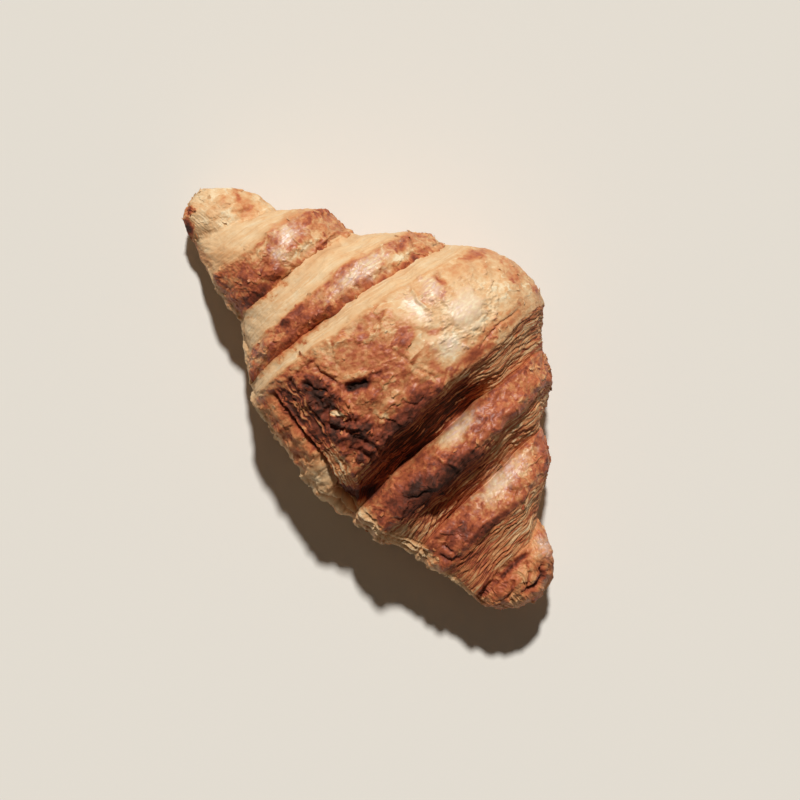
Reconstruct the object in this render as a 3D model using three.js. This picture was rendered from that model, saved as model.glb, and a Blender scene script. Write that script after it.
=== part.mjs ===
import * as THREE from "three";

// A croissant: one baked body of seven wraps, lying on its belly.
// X runs from tip to tip, +Y is the bulging outer side, +Z is up. Lengths are in mm.

const FACE_ROWS = 6;
const PLATEAU_ROWS = 6;
const CENTRE_ROWS = 12;
const TIP_ROWS = 9;
const TOP_COLUMNS = 46;
const BELLY_COLUMNS = 16;

const WIDEST_LEVEL = 0.42;
const TOP_SQUARENESS = 2.15;
const BELLY_SQUARENESS = 2.8;
const INNER_LEVEL = 0.435;
const INNER_RIGHT_LEVEL = 0.57;
const INNER_END_LEVEL = 0.67;
const INNER_LEVEL_START = { from: -64, over: 12 };
const INNER_RIGHT_LEVEL_START = { from: 12, over: 12 };
const INNER_END_LEVEL_START = { from: 36, over: 8 };
const PLATEAU_SIDE_BULGE = { outer: 0.7, inner: 0.35 };

const LEFT_TIP_END = { x: -80.6, y: -17.2, z: 13 };
const RIGHT_TIP_END = { x: 80, y: -14.4, z: 16 };
const LEFT_TIP_SHAPE = { rise: 0.8, outerBend: 1.12, innerBend: 1 };
const RIGHT_TIP_SHAPE = { rise: 2.4, outerBend: 1.15, innerBend: 1.1 };
const TIP_SWELL_REACH = 0.8;

// Each ring runs round the body. outer and inner are its [x, y] at the two silhouettes,
// crest is its [x, z] on top, and belly is the height of its underside.
const LEFT_TIP_FOOT = { outer: [-60.8, -0.6], inner: [-69.6, -26], crest: [-65.7, 22], belly: 3.5 };
const LEFT_LOW_RIM = { outer: [-52.4, 9.8], inner: [-56.3, -29], crest: [-55.7, 36], belly: 1.8 };
const LEFT_LOW_FOOT = { outer: [-40, 13], inner: [-42.1, -30.3], crest: [-42.8, 36], belly: 0.8 };
const LEFT_HIGH_RIM = { outer: [-27.6, 28.2], inner: [-31.3, -36.4], crest: [-33.1, 46], belly: 0 };
const LEFT_HIGH_FOOT = { outer: [-19.5, 31], inner: [-25.3, -40.1], crest: [-24.9, 45.5], belly: -0.8 };
const CENTRE_LEFT_RIM = { outer: [-12.5, 38.8], inner: [-20.7, -43.1], crest: [-19.1, 55], belly: -1.2 };
const CENTRE_RIGHT_RIM = { outer: [13.1, 42.7], inner: [15.5, -45], crest: [13.5, 55], belly: -1.2 };
const RIGHT_HIGH_FOOT = { outer: [23.4, 33.5], inner: [24.9, -42.6], crest: [21.9, 35.5], belly: -0.8 };
const RIGHT_HIGH_RIM = { outer: [32.3, 29.2], inner: [35.8, -40.7], crest: [33.8, 46], belly: 0 };
const RIGHT_LOW_FOOT = { outer: [40.5, 18.9], inner: [45.4, -35.4], crest: [42.3, 30], belly: 0.8 };
const RIGHT_LOW_RIM = { outer: [51.2, 13.7], inner: [54.2, -32.8], crest: [54, 36.2], belly: 1.8 };
const RIGHT_TIP_FOOT = { outer: [61.2, -0.4], inner: [66, -29.9], crest: [65.9, 28.8], belly: 3.5 };

const CENTRE_SPREAD = { outer: 3.9, inner: 0.7, crest: 3, bend: 2.2 };

// How a cut face drops: above 1 it starts gently, below 1 it starts steeply.
const LEFT_FACE_BEND = 1.2;
const RIGHT_FACE_BEND = 0.8;

// How a browned plateau rises out of the crease at its foot: its crest's rise over the rim and
// the crest's place on the way there, the share and the width of the steep wall, and the roll.
const LEFT_LOW_PLATEAU = { rise: 2.6, crestAt: 0.3, wall: 0.55, wallWidth: 0.1, roll: 1.25 };
const LEFT_HIGH_PLATEAU = { rise: 3, crestAt: 0.3, wall: 0.55, wallWidth: 0.1, roll: 1.25 };
const RIGHT_HIGH_PLATEAU = { rise: 2.6, crestAt: 0.74, wall: 0.72, wallWidth: 0.075, roll: 1.8 };
const RIGHT_LOW_PLATEAU = { rise: 2.4, crestAt: 0.74, wall: 0.66, wallWidth: 0.075, roll: 1.8 };

// The creases on the right are shallower towards the outer and the inner side.
const HIGH_CREASE_FILL = { outer: 7.5, inner: 1 };
const MIDDLE_CREASE_FILL = { outer: 6, inner: 6.5 };
const LOW_CREASE_FILL = { outer: 3.5, inner: 4 };
const CREASE_FILL_WIDTH = 0.16;
const FILL_HEIGHT = { from: 8, over: 14 };
const FILL_OUTER_SIDE = { from: 2, over: 17 };
const FILL_INNER_SIDE = { from: 18, over: 12 };

// Broad swellings and hollows of the crust on the upper side.
const SWELLINGS = [
  { name: "smooth blister", x: -1, y: 24, reachX: 7, reachY: 8, rise: 1.3 },
  { name: "wrinkled blister", x: -12, y: 19, reachX: 5, reachY: 4, rise: 0.8 },
  { name: "outer blister", x: 8, y: 37, reachX: 5, reachY: 4, rise: 0.8 },
  { name: "middle blister", x: -3, y: 3, reachX: 8, reachY: 5, rise: 0.8 },
  { name: "burnt hollow", x: 1, y: -25, reachX: 12, reachY: 4, rise: -1.4 },
  { name: "tear", x: -4, y: -16, reachX: 1.8, reachY: 3.5, rise: -1.8 },
  { name: "left high blister", x: -30, y: 12, reachX: 3.5, reachY: 7, rise: 0.8 },
  { name: "left low blister", x: -52, y: -3, reachX: 3.5, reachY: 6, rise: 0.8 },
  { name: "right high blister", x: 27, y: 3, reachX: 4, reachY: 8, rise: 1 },
  { name: "right low blister", x: 46, y: -1, reachX: 4, reachY: 8, rise: 0.9 },
  { name: "right low flake", x: 52, y: -1.5, reachX: 2.5, reachY: 3, rise: 1 },
  { name: "left tip knob", x: -73, y: -14, reachX: 4, reachY: 7, rise: 0.8 },
  { name: "right tip knob", x: 72, y: -12, reachX: 4, reachY: 7, rise: 0.8 },
  { name: "end of the outermost strip", x: 20.8, y: -44, reachX: 2.6, reachY: 3, rise: 1.6 },
];

// The outermost strip of dough ends on the inner side in an edge over the layer beneath it.
const LIP = { from: -20, to: 22.5, y: -37, tongue: 3, tongueAt: 16, tongueReach: 7 };
const LIP_LAYERS = { y: -30, drop: 1 };
const LIP_DROP = 1.6;
const TONGUE_DROP = 2.4;
const LIP_EDGE = 1.4;
const UNDER_LIP = 3.2;

const FACE_RIDGE = 0.55;
const RELIEF_HEIGHT = { from: 4, over: 10 };
const BROAD_UNEVENNESS = { cell: 9, height: 0.9, seed: 3 };
const FINE_UNEVENNESS = { cell: 4.2, height: 0.6, seed: 11 };
const RIDGE_UNEVENNESS = { cell: 7, height: 1.4, seed: 5 };

const mix = (a, b, t) => a + (b - a) * t;
const clamp = (value, low, high) => Math.min(high, Math.max(low, value));
const eased = (t) => {
  const held = clamp(t, 0, 1);
  return held * held * (3 - 2 * held);
};
const started = (value, { from, over }) => eased((value - from) / over);

function scatter(i, j, seed) {
  const wave = Math.sin(i * 127.1 + j * 311.7 + seed * 74.7) * 43758.5453;
  return wave - Math.floor(wave);
}

function unevenness(x, y, { cell, height, seed }) {
  const column = Math.floor(x / cell);
  const row = Math.floor(y / cell);
  const across = eased(x / cell - column);
  const along = eased(y / cell - row);
  const near = mix(scatter(column, row, seed), scatter(column + 1, row, seed), across);
  const far = mix(scatter(column, row + 1, seed), scatter(column + 1, row + 1, seed), across);
  return (mix(near, far, along) - 0.5) * height;
}

function mixRings(a, b, t) {
  return {
    outer: [mix(a.outer[0], b.outer[0], t), mix(a.outer[1], b.outer[1], t)],
    inner: [mix(a.inner[0], b.inner[0], t), mix(a.inner[1], b.inner[1], t)],
    crest: [mix(a.crest[0], b.crest[0], t), mix(a.crest[1], b.crest[1], t)],
    belly: mix(a.belly, b.belly, t),
    ridge: 0,
  };
}

// A browned plateau: it rises steeply out of the crease at its foot and rolls over to its rim.
function plateauRing(foot, rim, shape, t) {
  const ring = mixRings(foot, rim, t);
  const crest = rim.crest[1] + shape.rise;
  const wall = shape.wall * (1 - Math.exp(-t / shape.wallWidth));
  const climb = wall + (1 - shape.wall) * Math.min(1, t / shape.crestAt);
  const roll = Math.pow(Math.max(0, (t - shape.crestAt) / (1 - shape.crestAt)), shape.roll);
  ring.crest[1] = mix(mix(foot.crest[1], crest, climb), rim.crest[1], roll);
  ring.outer[1] += PLATEAU_SIDE_BULGE.outer * Math.sin(Math.PI * t);
  ring.inner[1] -= PLATEAU_SIDE_BULGE.inner * Math.sin(Math.PI * t);
  return ring;
}

// A laminated cut face, from its rim down to the crease where the next wrap comes out.
function faceRing(rim, foot, bend, t, row) {
  const ring = mixRings(rim, foot, t);
  ring.crest[1] = mix(rim.crest[1], foot.crest[1], Math.pow(t, bend));
  ring.ridge = row % 2 === 0 ? FACE_RIDGE : -FACE_RIDGE;
  if (row === 0 || row === FACE_ROWS) {
    ring.ridge = 0;
  }
  return ring;
}

function centreRing(t) {
  const ring = mixRings(CENTRE_LEFT_RIM, CENTRE_RIGHT_RIM, t);
  const spread = 1 - Math.pow(Math.abs(2 * t - 1), CENTRE_SPREAD.bend);
  ring.outer[1] += CENTRE_SPREAD.outer * spread;
  ring.inner[1] -= CENTRE_SPREAD.inner * spread;
  ring.crest[1] += CENTRE_SPREAD.crest * spread;
  return ring;
}

// A rounded tip: the foot ring shrinks to one point along quarter ellipses.
function tipRing(foot, end, shape, t) {
  const angle = t * Math.PI * 0.5;
  const forward = Math.sin(angle);
  const left = Math.cos(angle);
  const swell = shape.rise * Math.sin(Math.PI * Math.min(1, t / TIP_SWELL_REACH));
  return {
    outer: [
      mix(foot.outer[0], end.x, forward),
      mix(end.y, foot.outer[1], Math.pow(left, shape.outerBend)),
    ],
    inner: [
      mix(foot.inner[0], end.x, forward),
      mix(end.y, foot.inner[1], Math.pow(left, shape.innerBend)),
    ],
    crest: [mix(foot.crest[0], end.x, forward), mix(end.z, foot.crest[1], left) + swell],
    belly: mix(end.z, foot.belly, left),
    ridge: 0,
  };
}

// How much a ring's crease is filled: all of it at the foot, none at the rim.
function filled(ring, fill, share) {
  return { ...ring, fill: { outer: fill.outer * share, inner: fill.inner * share } };
}

// A face on the right and the plateau that comes out of the crease at its foot.
function rightStep(run, rim, foot, nextRim, shape, fill) {
  run(FACE_ROWS, (t, row) => filled(faceRing(rim, foot, RIGHT_FACE_BEND, t, row), fill, t));
  run(PLATEAU_ROWS, (t) => filled(
    plateauRing(foot, nextRim, shape, t), fill, Math.exp(-t / CREASE_FILL_WIDTH),
  ));
}

function allRings() {
  const rings = [];
  const run = (rows, ringAt) => {
    for (let row = 0; row < rows; row += 1) {
      rings.push(ringAt(row / rows, row));
    }
  };
  const leftFace = (rim, foot) => {
    run(FACE_ROWS, (t, row) => faceRing(rim, foot, LEFT_FACE_BEND, 1 - t, row));
  };
  run(TIP_ROWS, (t) => tipRing(LEFT_TIP_FOOT, LEFT_TIP_END, LEFT_TIP_SHAPE, 1 - t));
  leftFace(LEFT_LOW_RIM, LEFT_TIP_FOOT);
  run(PLATEAU_ROWS, (t) => plateauRing(LEFT_LOW_FOOT, LEFT_LOW_RIM, LEFT_LOW_PLATEAU, 1 - t));
  leftFace(LEFT_HIGH_RIM, LEFT_LOW_FOOT);
  run(PLATEAU_ROWS, (t) => plateauRing(LEFT_HIGH_FOOT, LEFT_HIGH_RIM, LEFT_HIGH_PLATEAU, 1 - t));
  leftFace(CENTRE_LEFT_RIM, LEFT_HIGH_FOOT);
  run(CENTRE_ROWS, (t) => centreRing(t));
  rightStep(
    run, CENTRE_RIGHT_RIM, RIGHT_HIGH_FOOT, RIGHT_HIGH_RIM, RIGHT_HIGH_PLATEAU, HIGH_CREASE_FILL,
  );
  rightStep(
    run, RIGHT_HIGH_RIM, RIGHT_LOW_FOOT, RIGHT_LOW_RIM, RIGHT_LOW_PLATEAU, MIDDLE_CREASE_FILL,
  );
  run(FACE_ROWS, (t, row) => filled(
    faceRing(RIGHT_LOW_RIM, RIGHT_TIP_FOOT, RIGHT_FACE_BEND, t, row), LOW_CREASE_FILL, t,
  ));
  run(TIP_ROWS, (t) => tipRing(RIGHT_TIP_FOOT, RIGHT_TIP_END, RIGHT_TIP_SHAPE, t));
  rings.shift();
  return rings;
}

// Angles round a ring: 0 is the crest, a quarter turn is the outer side, half is the belly.
function ringAngles() {
  const angles = [];
  for (let i = 0; i < TOP_COLUMNS; i += 1) {
    angles.push(-Math.PI / 2 + (Math.PI * i) / TOP_COLUMNS);
  }
  for (let i = 0; i < BELLY_COLUMNS; i += 1) {
    angles.push(Math.PI / 2 + (Math.PI * i) / BELLY_COLUMNS);
  }
  return angles;
}

function creaseFill(ring, point) {
  if (!ring.fill) {
    return 0;
  }
  const raised = started(point.z, FILL_HEIGHT);
  const outerShare = started(point.y, FILL_OUTER_SIDE);
  const innerShare = started(-point.y, FILL_INNER_SIDE);
  return raised * (ring.fill.outer * outerShare + ring.fill.inner * innerShare);
}

// On the inner side the body is widest higher up, most of all to the right, and undercut below.
function innerLevel(x) {
  const share = mix(WIDEST_LEVEL, INNER_LEVEL, started(x, INNER_LEVEL_START));
  const rightShare = mix(share, INNER_RIGHT_LEVEL, started(x, INNER_RIGHT_LEVEL_START));
  return mix(rightShare, INNER_END_LEVEL, started(x, INNER_END_LEVEL_START));
}

function ringPoint(ring, angle) {
  const up = Math.cos(angle);
  const out = Math.sin(angle);
  const bellyX = (ring.outer[0] + ring.inner[0]) / 2;
  const meanX = (ring.crest[0] + bellyX + ring.outer[0] + ring.inner[0]) / 4;
  const twist = (ring.crest[0] + bellyX - ring.outer[0] - ring.inner[0]) / 4;
  const lean = (ring.crest[0] - bellyX) / 2;
  const skew = (ring.outer[0] - ring.inner[0]) / 2;
  const power = 2 / (up > 0 ? TOP_SQUARENESS : BELLY_SQUARENESS);
  const level = mix(ring.belly, ring.crest[1], out < 0 ? innerLevel(ring.crest[0]) : WIDEST_LEVEL);
  const height = up > 0 ? ring.crest[1] - level : level - ring.belly;
  const halfWidth = (ring.outer[1] - ring.inner[1]) / 2;
  const middle = (ring.outer[1] + ring.inner[1]) / 2;
  const point = new THREE.Vector3(
    meanX + lean * up + skew * out + twist * Math.cos(2 * angle),
    middle + halfWidth * Math.sign(out) * Math.pow(Math.abs(out), power),
    level + height * Math.sign(up) * Math.pow(Math.abs(up), power),
  );
  point.z += creaseFill(ring, point);
  return point;
}

function lipRelief(point) {
  if (point.x < LIP.from || point.x > LIP.to || point.y > 0) {
    return 0;
  }
  const reach = (point.x - LIP.tongueAt) / LIP.tongueReach;
  const tongue = Math.exp(-reach * reach);
  const edge = LIP.y - LIP.tongue * tongue;
  const layers = LIP_LAYERS.drop * (1 - tongue) * eased((LIP_LAYERS.y - point.y) / LIP_EDGE);
  const below = eased((edge - point.y) / LIP_EDGE);
  const risen = eased((edge - LIP_EDGE - point.y) / UNDER_LIP);
  return -layers - (LIP_DROP + TONGUE_DROP * tongue) * below * (1 - risen);
}

function swellingRelief(point) {
  let total = 0;
  for (const { x, y, reachX, reachY, rise } of SWELLINGS) {
    const away = Math.pow((point.x - x) / reachX, 2) + Math.pow((point.y - y) / reachY, 2);
    total += rise * Math.exp(-away);
  }
  return total;
}

function relief(point, ring) {
  const uneven = unevenness(point.x, point.y + point.z, BROAD_UNEVENNESS)
    + unevenness(point.x, point.y + point.z, FINE_UNEVENNESS);
  const ridge = ring.ridge * (1 + unevenness(point.y, point.z, RIDGE_UNEVENNESS));
  const exposed = started(point.z, RELIEF_HEIGHT);
  return exposed * (uneven + ridge + swellingRelief(point) + lipRelief(point));
}

function bodyGeometry() {
  const rings = allRings();
  const angles = ringAngles();
  const grid = rings.map((ring) => angles.map((angle) => ringPoint(ring, angle)));
  const around = angles.length;
  const positions = [];
  const along = new THREE.Vector3();
  const across = new THREE.Vector3();
  grid.forEach((row, i) => {
    const before = grid[Math.max(0, i - 1)];
    const after = grid[Math.min(grid.length - 1, i + 1)];
    row.forEach((point, j) => {
      along.subVectors(after[j], before[j]);
      across.subVectors(row[(j + 1) % around], row[(j + around - 1) % around]);
      const normal = along.cross(across).normalize();
      const moved = point.clone().addScaledVector(normal, relief(point, rings[i]));
      positions.push(moved.x, moved.y, Math.max(0, moved.z));
    });
  });
  const first = positions.length / 3;
  positions.push(LEFT_TIP_END.x, LEFT_TIP_END.y, LEFT_TIP_END.z);
  positions.push(RIGHT_TIP_END.x, RIGHT_TIP_END.y, RIGHT_TIP_END.z);
  const faces = [];
  for (let j = 0; j < around; j += 1) {
    const next = (j + 1) % around;
    const last = (grid.length - 1) * around;
    faces.push(first, j, next);
    faces.push(first + 1, last + next, last + j);
    for (let i = 0; i < grid.length - 1; i += 1) {
      const here = i * around;
      const there = here + around;
      faces.push(here + j, there + next, here + next);
      faces.push(here + j, there + j, there + next);
    }
  }
  const geometry = new THREE.BufferGeometry();
  geometry.setAttribute("position", new THREE.Float32BufferAttribute(positions, 3));
  geometry.setIndex(faces);
  geometry.computeVertexNormals();
  return geometry;
}

const group = new THREE.Group();
const crust = new THREE.MeshStandardMaterial({ color: "#a8622f", roughness: 0.45, metalness: 0 });
const croissant = new THREE.Mesh(bodyGeometry(), crust);
croissant.name = "croissant";
group.add(croissant);

export default group;
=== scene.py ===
import math

import bpy
import numpy as np
from mathutils import Matrix, Vector


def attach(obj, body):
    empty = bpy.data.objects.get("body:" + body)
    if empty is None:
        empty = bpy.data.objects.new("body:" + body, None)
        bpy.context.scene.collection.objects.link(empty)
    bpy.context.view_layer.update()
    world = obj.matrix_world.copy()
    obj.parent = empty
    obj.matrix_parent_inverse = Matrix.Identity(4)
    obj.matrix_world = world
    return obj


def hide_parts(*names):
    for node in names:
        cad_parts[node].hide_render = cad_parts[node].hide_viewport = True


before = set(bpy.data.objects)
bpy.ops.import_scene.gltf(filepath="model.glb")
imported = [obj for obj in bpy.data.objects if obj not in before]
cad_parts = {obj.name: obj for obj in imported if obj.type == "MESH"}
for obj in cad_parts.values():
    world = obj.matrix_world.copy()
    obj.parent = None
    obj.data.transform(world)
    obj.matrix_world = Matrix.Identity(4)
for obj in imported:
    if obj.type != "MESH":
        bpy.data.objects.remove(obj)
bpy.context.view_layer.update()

# ---- Form, in mm ----
# X runs from tip to tip, +Y is the bulging outer side, +Z is up.
# Each ring is [outer x, outer y, inner x, inner y, crest x, crest z, belly z].
LEFT_TIP_FOOT = [-60.8, -0.6, -69.6, -26.0, -65.7, 22.0, 3.5]
LEFT_LOW_RIM = [-52.4, 9.8, -56.3, -29.0, -55.7, 36.0, 1.8]
LEFT_LOW_FOOT = [-40.0, 13.0, -42.1, -30.3, -42.8, 36.0, 0.8]
LEFT_HIGH_RIM = [-27.6, 28.2, -31.3, -36.4, -33.1, 46.0, 0.0]
LEFT_HIGH_FOOT = [-19.5, 31.0, -25.3, -40.1, -24.9, 45.5, -0.8]
CENTRE_LEFT_RIM = [-12.5, 38.8, -20.7, -43.1, -19.1, 55.0, -1.2]
CENTRE_RIGHT_RIM = [13.1, 42.7, 15.5, -45.0, 13.5, 55.0, -1.2]
RIGHT_HIGH_FOOT = [23.4, 33.5, 24.9, -42.6, 21.9, 35.5, -0.8]
RIGHT_HIGH_RIM = [32.3, 29.2, 35.8, -40.7, 33.8, 46.0, 0.0]
RIGHT_LOW_FOOT = [40.5, 18.9, 45.4, -35.4, 42.3, 30.0, 0.8]
RIGHT_LOW_RIM = [51.2, 13.7, 54.2, -32.8, 54.0, 36.2, 1.8]
RIGHT_TIP_FOOT = [61.2, -0.4, 66.0, -29.9, 65.9, 28.8, 3.5]
LEFT_TIP_END = (-80.6, -17.2, 13.0)
RIGHT_TIP_END = (80.0, -14.4, 16.0)

TOP_SQUARENESS = 2.15
BELLY_SQUARENESS = 2.8
# How high the body is widest, as a share of its height. On the inner side it is higher up, most of all
# to the right: the x where each level sets in, the length over which it does, and the level.
WIDEST_LEVEL = 0.42
INNER_LEVELS = ((-64.0, 12.0, 0.435), (12.0, 12.0, 0.57), (36.0, 8.0, 0.67))
# Plateau shapes: rise of the crest over the rim, where the crest is, the share and the width of
# the steep wall out of the crease, and how the crest rolls over to the rim.
LEFT_LOW_PLATEAU = (2.6, 0.30, 0.55, 0.10, 1.25)
LEFT_HIGH_PLATEAU = (3.0, 0.30, 0.55, 0.10, 1.25)
RIGHT_HIGH_PLATEAU = (2.6, 0.74, 0.72, 0.075, 1.8)
RIGHT_LOW_PLATEAU = (2.4, 0.74, 0.66, 0.075, 1.8)
PLATEAU_BULGE = (0.7, 0.35)
CENTRE_BULGE = (3.9, 0.7, 3.0)
CENTRE_SQUARENESS = 2.2
LEFT_FACE_BEND, RIGHT_FACE_BEND = 1.2, 0.8
LEFT_TIP_BEND, RIGHT_TIP_BEND = (1.12, 1.0), (1.15, 1.1)
LEFT_TIP_SWELL, RIGHT_TIP_SWELL = 0.8, 2.4
# The creases on the right are shallower towards the two sides than along the crest: the wrap on the
# left of the crease, and how far it is filled on the outer and on the inner side.
CREASE_FILLS = ((0, 7.5, 1.0), (1, 6.0, 6.5), (2, 3.5, 4.0))
TOP_COLUMNS, BELLY_COLUMNS = 400, 60
TIP_ROWS, FACE_ROWS, PLATEAU_ROWS, CENTRE_ROWS = 94, 58, 54, 136
MM = 0.001

# The camera looks straight down. Heights and places in mm.
CAMERA_X, CAMERA_Y, CAMERA_HEIGHT = 7.06, -8.88, 900.0
FOCUS_HEIGHT = 20.0
FRAME_WIDTH = 241.5


# ---- Noise ----
def lattice(ix, iy, seed):
    """A fixed random number from 0 to 1 at each whole-number point."""
    h = ix.astype(np.int64) * 374761393 + iy.astype(np.int64) * 668265263 + seed * 1442695041
    h &= 0xFFFFFFFF
    h = ((h ^ (h >> 13)) * 1274126177) & 0xFFFFFFFF
    h ^= h >> 16
    return (h & 0xFFFFFF) / float(0x1000000)


def smooth(t):
    """0 below 0, 1 above 1, eased between."""
    t = np.clip(t, 0.0, 1.0)
    return t * t * (3.0 - 2.0 * t)


def rise(value, start, length):
    """0 up to start, 1 from start + length on, eased between."""
    return smooth((value - start) / length)


def fall(value, end, length):
    """1 up to end - length, 0 from end on, eased between."""
    return smooth((end - value) / length)


def hump(away, width):
    """1 where away is 0, fading to 0 over a few widths."""
    return np.exp(-(away / width) ** 2)


def mix(a, b, t):
    return a + (b - a) * t


def ripple(x, y, seed):
    """Smooth noise from about -1 to 1, with lumps one unit across."""
    ix, iy = np.floor(x), np.floor(y)
    fx, fy = x - ix, y - iy
    ux = fx * fx * fx * (fx * (fx * 6.0 - 15.0) + 10.0)
    uy = fy * fy * fy * (fy * (fy * 6.0 - 15.0) + 10.0)

    def corner(dx, dy):
        angle = lattice(ix + dx, iy + dy, seed) * 2.0 * math.pi
        return np.cos(angle) * (fx - dx) + np.sin(angle) * (fy - dy)

    low = mix(corner(0, 0), corner(1, 0), ux)
    high = mix(corner(0, 1), corner(1, 1), ux)
    return 1.45 * mix(low, high, uy)


def ripples(x, y, seed, octaves=3, gain=0.5):
    total, size, weight = 0.0, 1.0, 1.0
    for k in range(octaves):
        total = total + weight * ripple(x * size + 17.3 * k, y * size - 9.1 * k, seed + k)
        size *= 2.03
        weight *= gain
    return total


def folds(x, y, seed, octaves=3, gain=0.5):
    """Noise with sharp ridges, from about 0 to 1."""
    total, size, weight, whole = 0.0, 1.0, 1.0, 0.0
    for k in range(octaves):
        ridge = 1.0 - np.abs(ripple(x * size + 31.7 * k, y * size + 5.9 * k, seed + k))
        total = total + weight * ridge * ridge
        whole += weight
        size *= 2.03
        weight *= gain
    return total / whole


def cells(x, y, seed):
    """Crazy-paving cells: distance to the nearest and second nearest seed point, where the point
    is from here, and three random numbers of the nearest cell."""
    ix, iy = np.floor(x), np.floor(y)
    first = np.full(x.shape, 9.0)
    second = np.full(x.shape, 9.0)
    away_x, away_y = np.zeros(x.shape), np.zeros(x.shape)
    cell_x, cell_y = np.zeros(x.shape), np.zeros(x.shape)
    for dx in (-1, 0, 1):
        for dy in (-1, 0, 1):
            cx, cy = ix + dx, iy + dy
            px = cx + 0.1 + 0.8 * lattice(cx, cy, seed) - x
            py = cy + 0.1 + 0.8 * lattice(cx, cy, seed + 1) - y
            reach = np.sqrt(px * px + py * py)
            nearer = reach < first
            second = np.where(nearer, first, np.minimum(second, reach))
            first = np.where(nearer, reach, first)
            away_x, away_y = np.where(nearer, px, away_x), np.where(nearer, py, away_y)
            cell_x, cell_y = np.where(nearer, cx, cell_x), np.where(nearer, cy, cell_y)
    marks = [lattice(cell_x, cell_y, seed + k) for k in (2, 3, 4)]
    return first, second, away_x, away_y, marks


def blur(field, rows, columns):
    """Box blur, twice, over a grid; the columns wrap round."""
    for _ in range(2):
        for axis, half in ((0, rows), (1, columns)):
            if half < 1:
                continue
            pad = [(0, 0), (0, 0)]
            pad[axis] = (half + 1, half)
            padded = np.pad(field, pad, mode="edge" if axis == 0 else "wrap")
            total = np.cumsum(padded, axis=axis)
            width = 2 * half + 1
            if axis == 0:
                field = (total[width:] - total[:-width]) / width
            else:
                field = (total[:, width:] - total[:, :-width]) / width
    return field


# ---- Base form: rows of rings from the left tip to the right tip ----
def plateau_ring(foot, rim, shape, t):
    """Steep out of the crease, then gently up to the crest, then down to the rim."""
    crest_rise, crest_at, wall, wall_width, roll_bend = shape
    ring = mix(np.array(foot), np.array(rim), t)
    crest = rim[5] + crest_rise
    climb = wall * (1.0 - math.exp(-t / wall_width)) + (1.0 - wall) * min(1.0, t / crest_at)
    roll = max(0.0, (t - crest_at) / (1.0 - crest_at)) ** roll_bend
    ring[5] = mix(mix(foot[5], crest, climb), rim[5], roll)
    ring[1] += PLATEAU_BULGE[0] * math.sin(math.pi * t)
    ring[3] -= PLATEAU_BULGE[1] * math.sin(math.pi * t)
    return ring


def face_ring(rim, foot, bend, t):
    ring = mix(np.array(rim), np.array(foot), t)
    ring[5] = mix(rim[5], foot[5], t ** bend)
    return ring


def centre_ring(t):
    ring = mix(np.array(CENTRE_LEFT_RIM), np.array(CENTRE_RIGHT_RIM), t)
    spread = 1.0 - abs(2.0 * t - 1.0) ** CENTRE_SQUARENESS
    out, inward, up = CENTRE_BULGE
    ring[1] += out * spread
    ring[3] -= inward * spread
    ring[5] += up * spread
    return ring


def tip_ring(foot, end, swell_height, bend, t):
    forward = math.sin(t * math.pi / 2)
    left = math.cos(t * math.pi / 2)
    swell = swell_height * math.sin(math.pi * min(1.0, t * 1.25))
    return np.array([
        mix(foot[0], end[0], forward), mix(end[1], foot[1], left ** bend[0]),
        mix(foot[2], end[0], forward), mix(end[1], foot[3], left ** bend[1]),
        mix(foot[4], end[0], forward), mix(end[2], foot[5], left) + swell,
        mix(end[2], foot[6], left),
    ])


TIP, FACE, PLATEAU, CENTRE = 0, 1, 2, 3
rings, kinds, places, wraps = [], [], [], []


def add_rows(count, kind, wrap, ring_at, left=False):
    """Adds rows of one kind. ring_at takes 0 to 1, counted outwards from the middle of the body. The rows'
    places run from 0 at the foot to 1 at the rim, and on a tip from 0 to 1."""
    for row in range(count):
        t = row / count
        rings.append(ring_at(1.0 - t if left else t))
        kinds.append(kind)
        places.append(t if (kind == FACE) == left else 1.0 - t)
        wraps.append(wrap)


add_rows(TIP_ROWS, TIP, -3,
         lambda t: tip_ring(LEFT_TIP_FOOT, LEFT_TIP_END, LEFT_TIP_SWELL, LEFT_TIP_BEND, t), left=True)
for wrap, low_foot, rim, high_foot, shape in (
    (-2, LEFT_TIP_FOOT, LEFT_LOW_RIM, LEFT_LOW_FOOT, LEFT_LOW_PLATEAU),
    (-1, LEFT_LOW_FOOT, LEFT_HIGH_RIM, LEFT_HIGH_FOOT, LEFT_HIGH_PLATEAU),
):
    add_rows(FACE_ROWS, FACE, wrap, lambda t: face_ring(rim, low_foot, LEFT_FACE_BEND, t), left=True)
    add_rows(PLATEAU_ROWS, PLATEAU, wrap, lambda t: plateau_ring(high_foot, rim, shape, t), left=True)
add_rows(FACE_ROWS, FACE, 0,
         lambda t: face_ring(CENTRE_LEFT_RIM, LEFT_HIGH_FOOT, LEFT_FACE_BEND, t), left=True)
add_rows(CENTRE_ROWS, CENTRE, 0, centre_ring)
add_rows(FACE_ROWS, FACE, 0, lambda t: face_ring(CENTRE_RIGHT_RIM, RIGHT_HIGH_FOOT, RIGHT_FACE_BEND, t))
for wrap, high_foot, rim, low_foot, shape in (
    (1, RIGHT_HIGH_FOOT, RIGHT_HIGH_RIM, RIGHT_LOW_FOOT, RIGHT_HIGH_PLATEAU),
    (2, RIGHT_LOW_FOOT, RIGHT_LOW_RIM, RIGHT_TIP_FOOT, RIGHT_LOW_PLATEAU),
):
    add_rows(PLATEAU_ROWS, PLATEAU, wrap, lambda t: plateau_ring(high_foot, rim, shape, t))
    add_rows(FACE_ROWS, FACE, wrap, lambda t: face_ring(rim, low_foot, RIGHT_FACE_BEND, t))
add_rows(TIP_ROWS, TIP, 3,
         lambda t: tip_ring(RIGHT_TIP_FOOT, RIGHT_TIP_END, RIGHT_TIP_SWELL, RIGHT_TIP_BEND, t))

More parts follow.
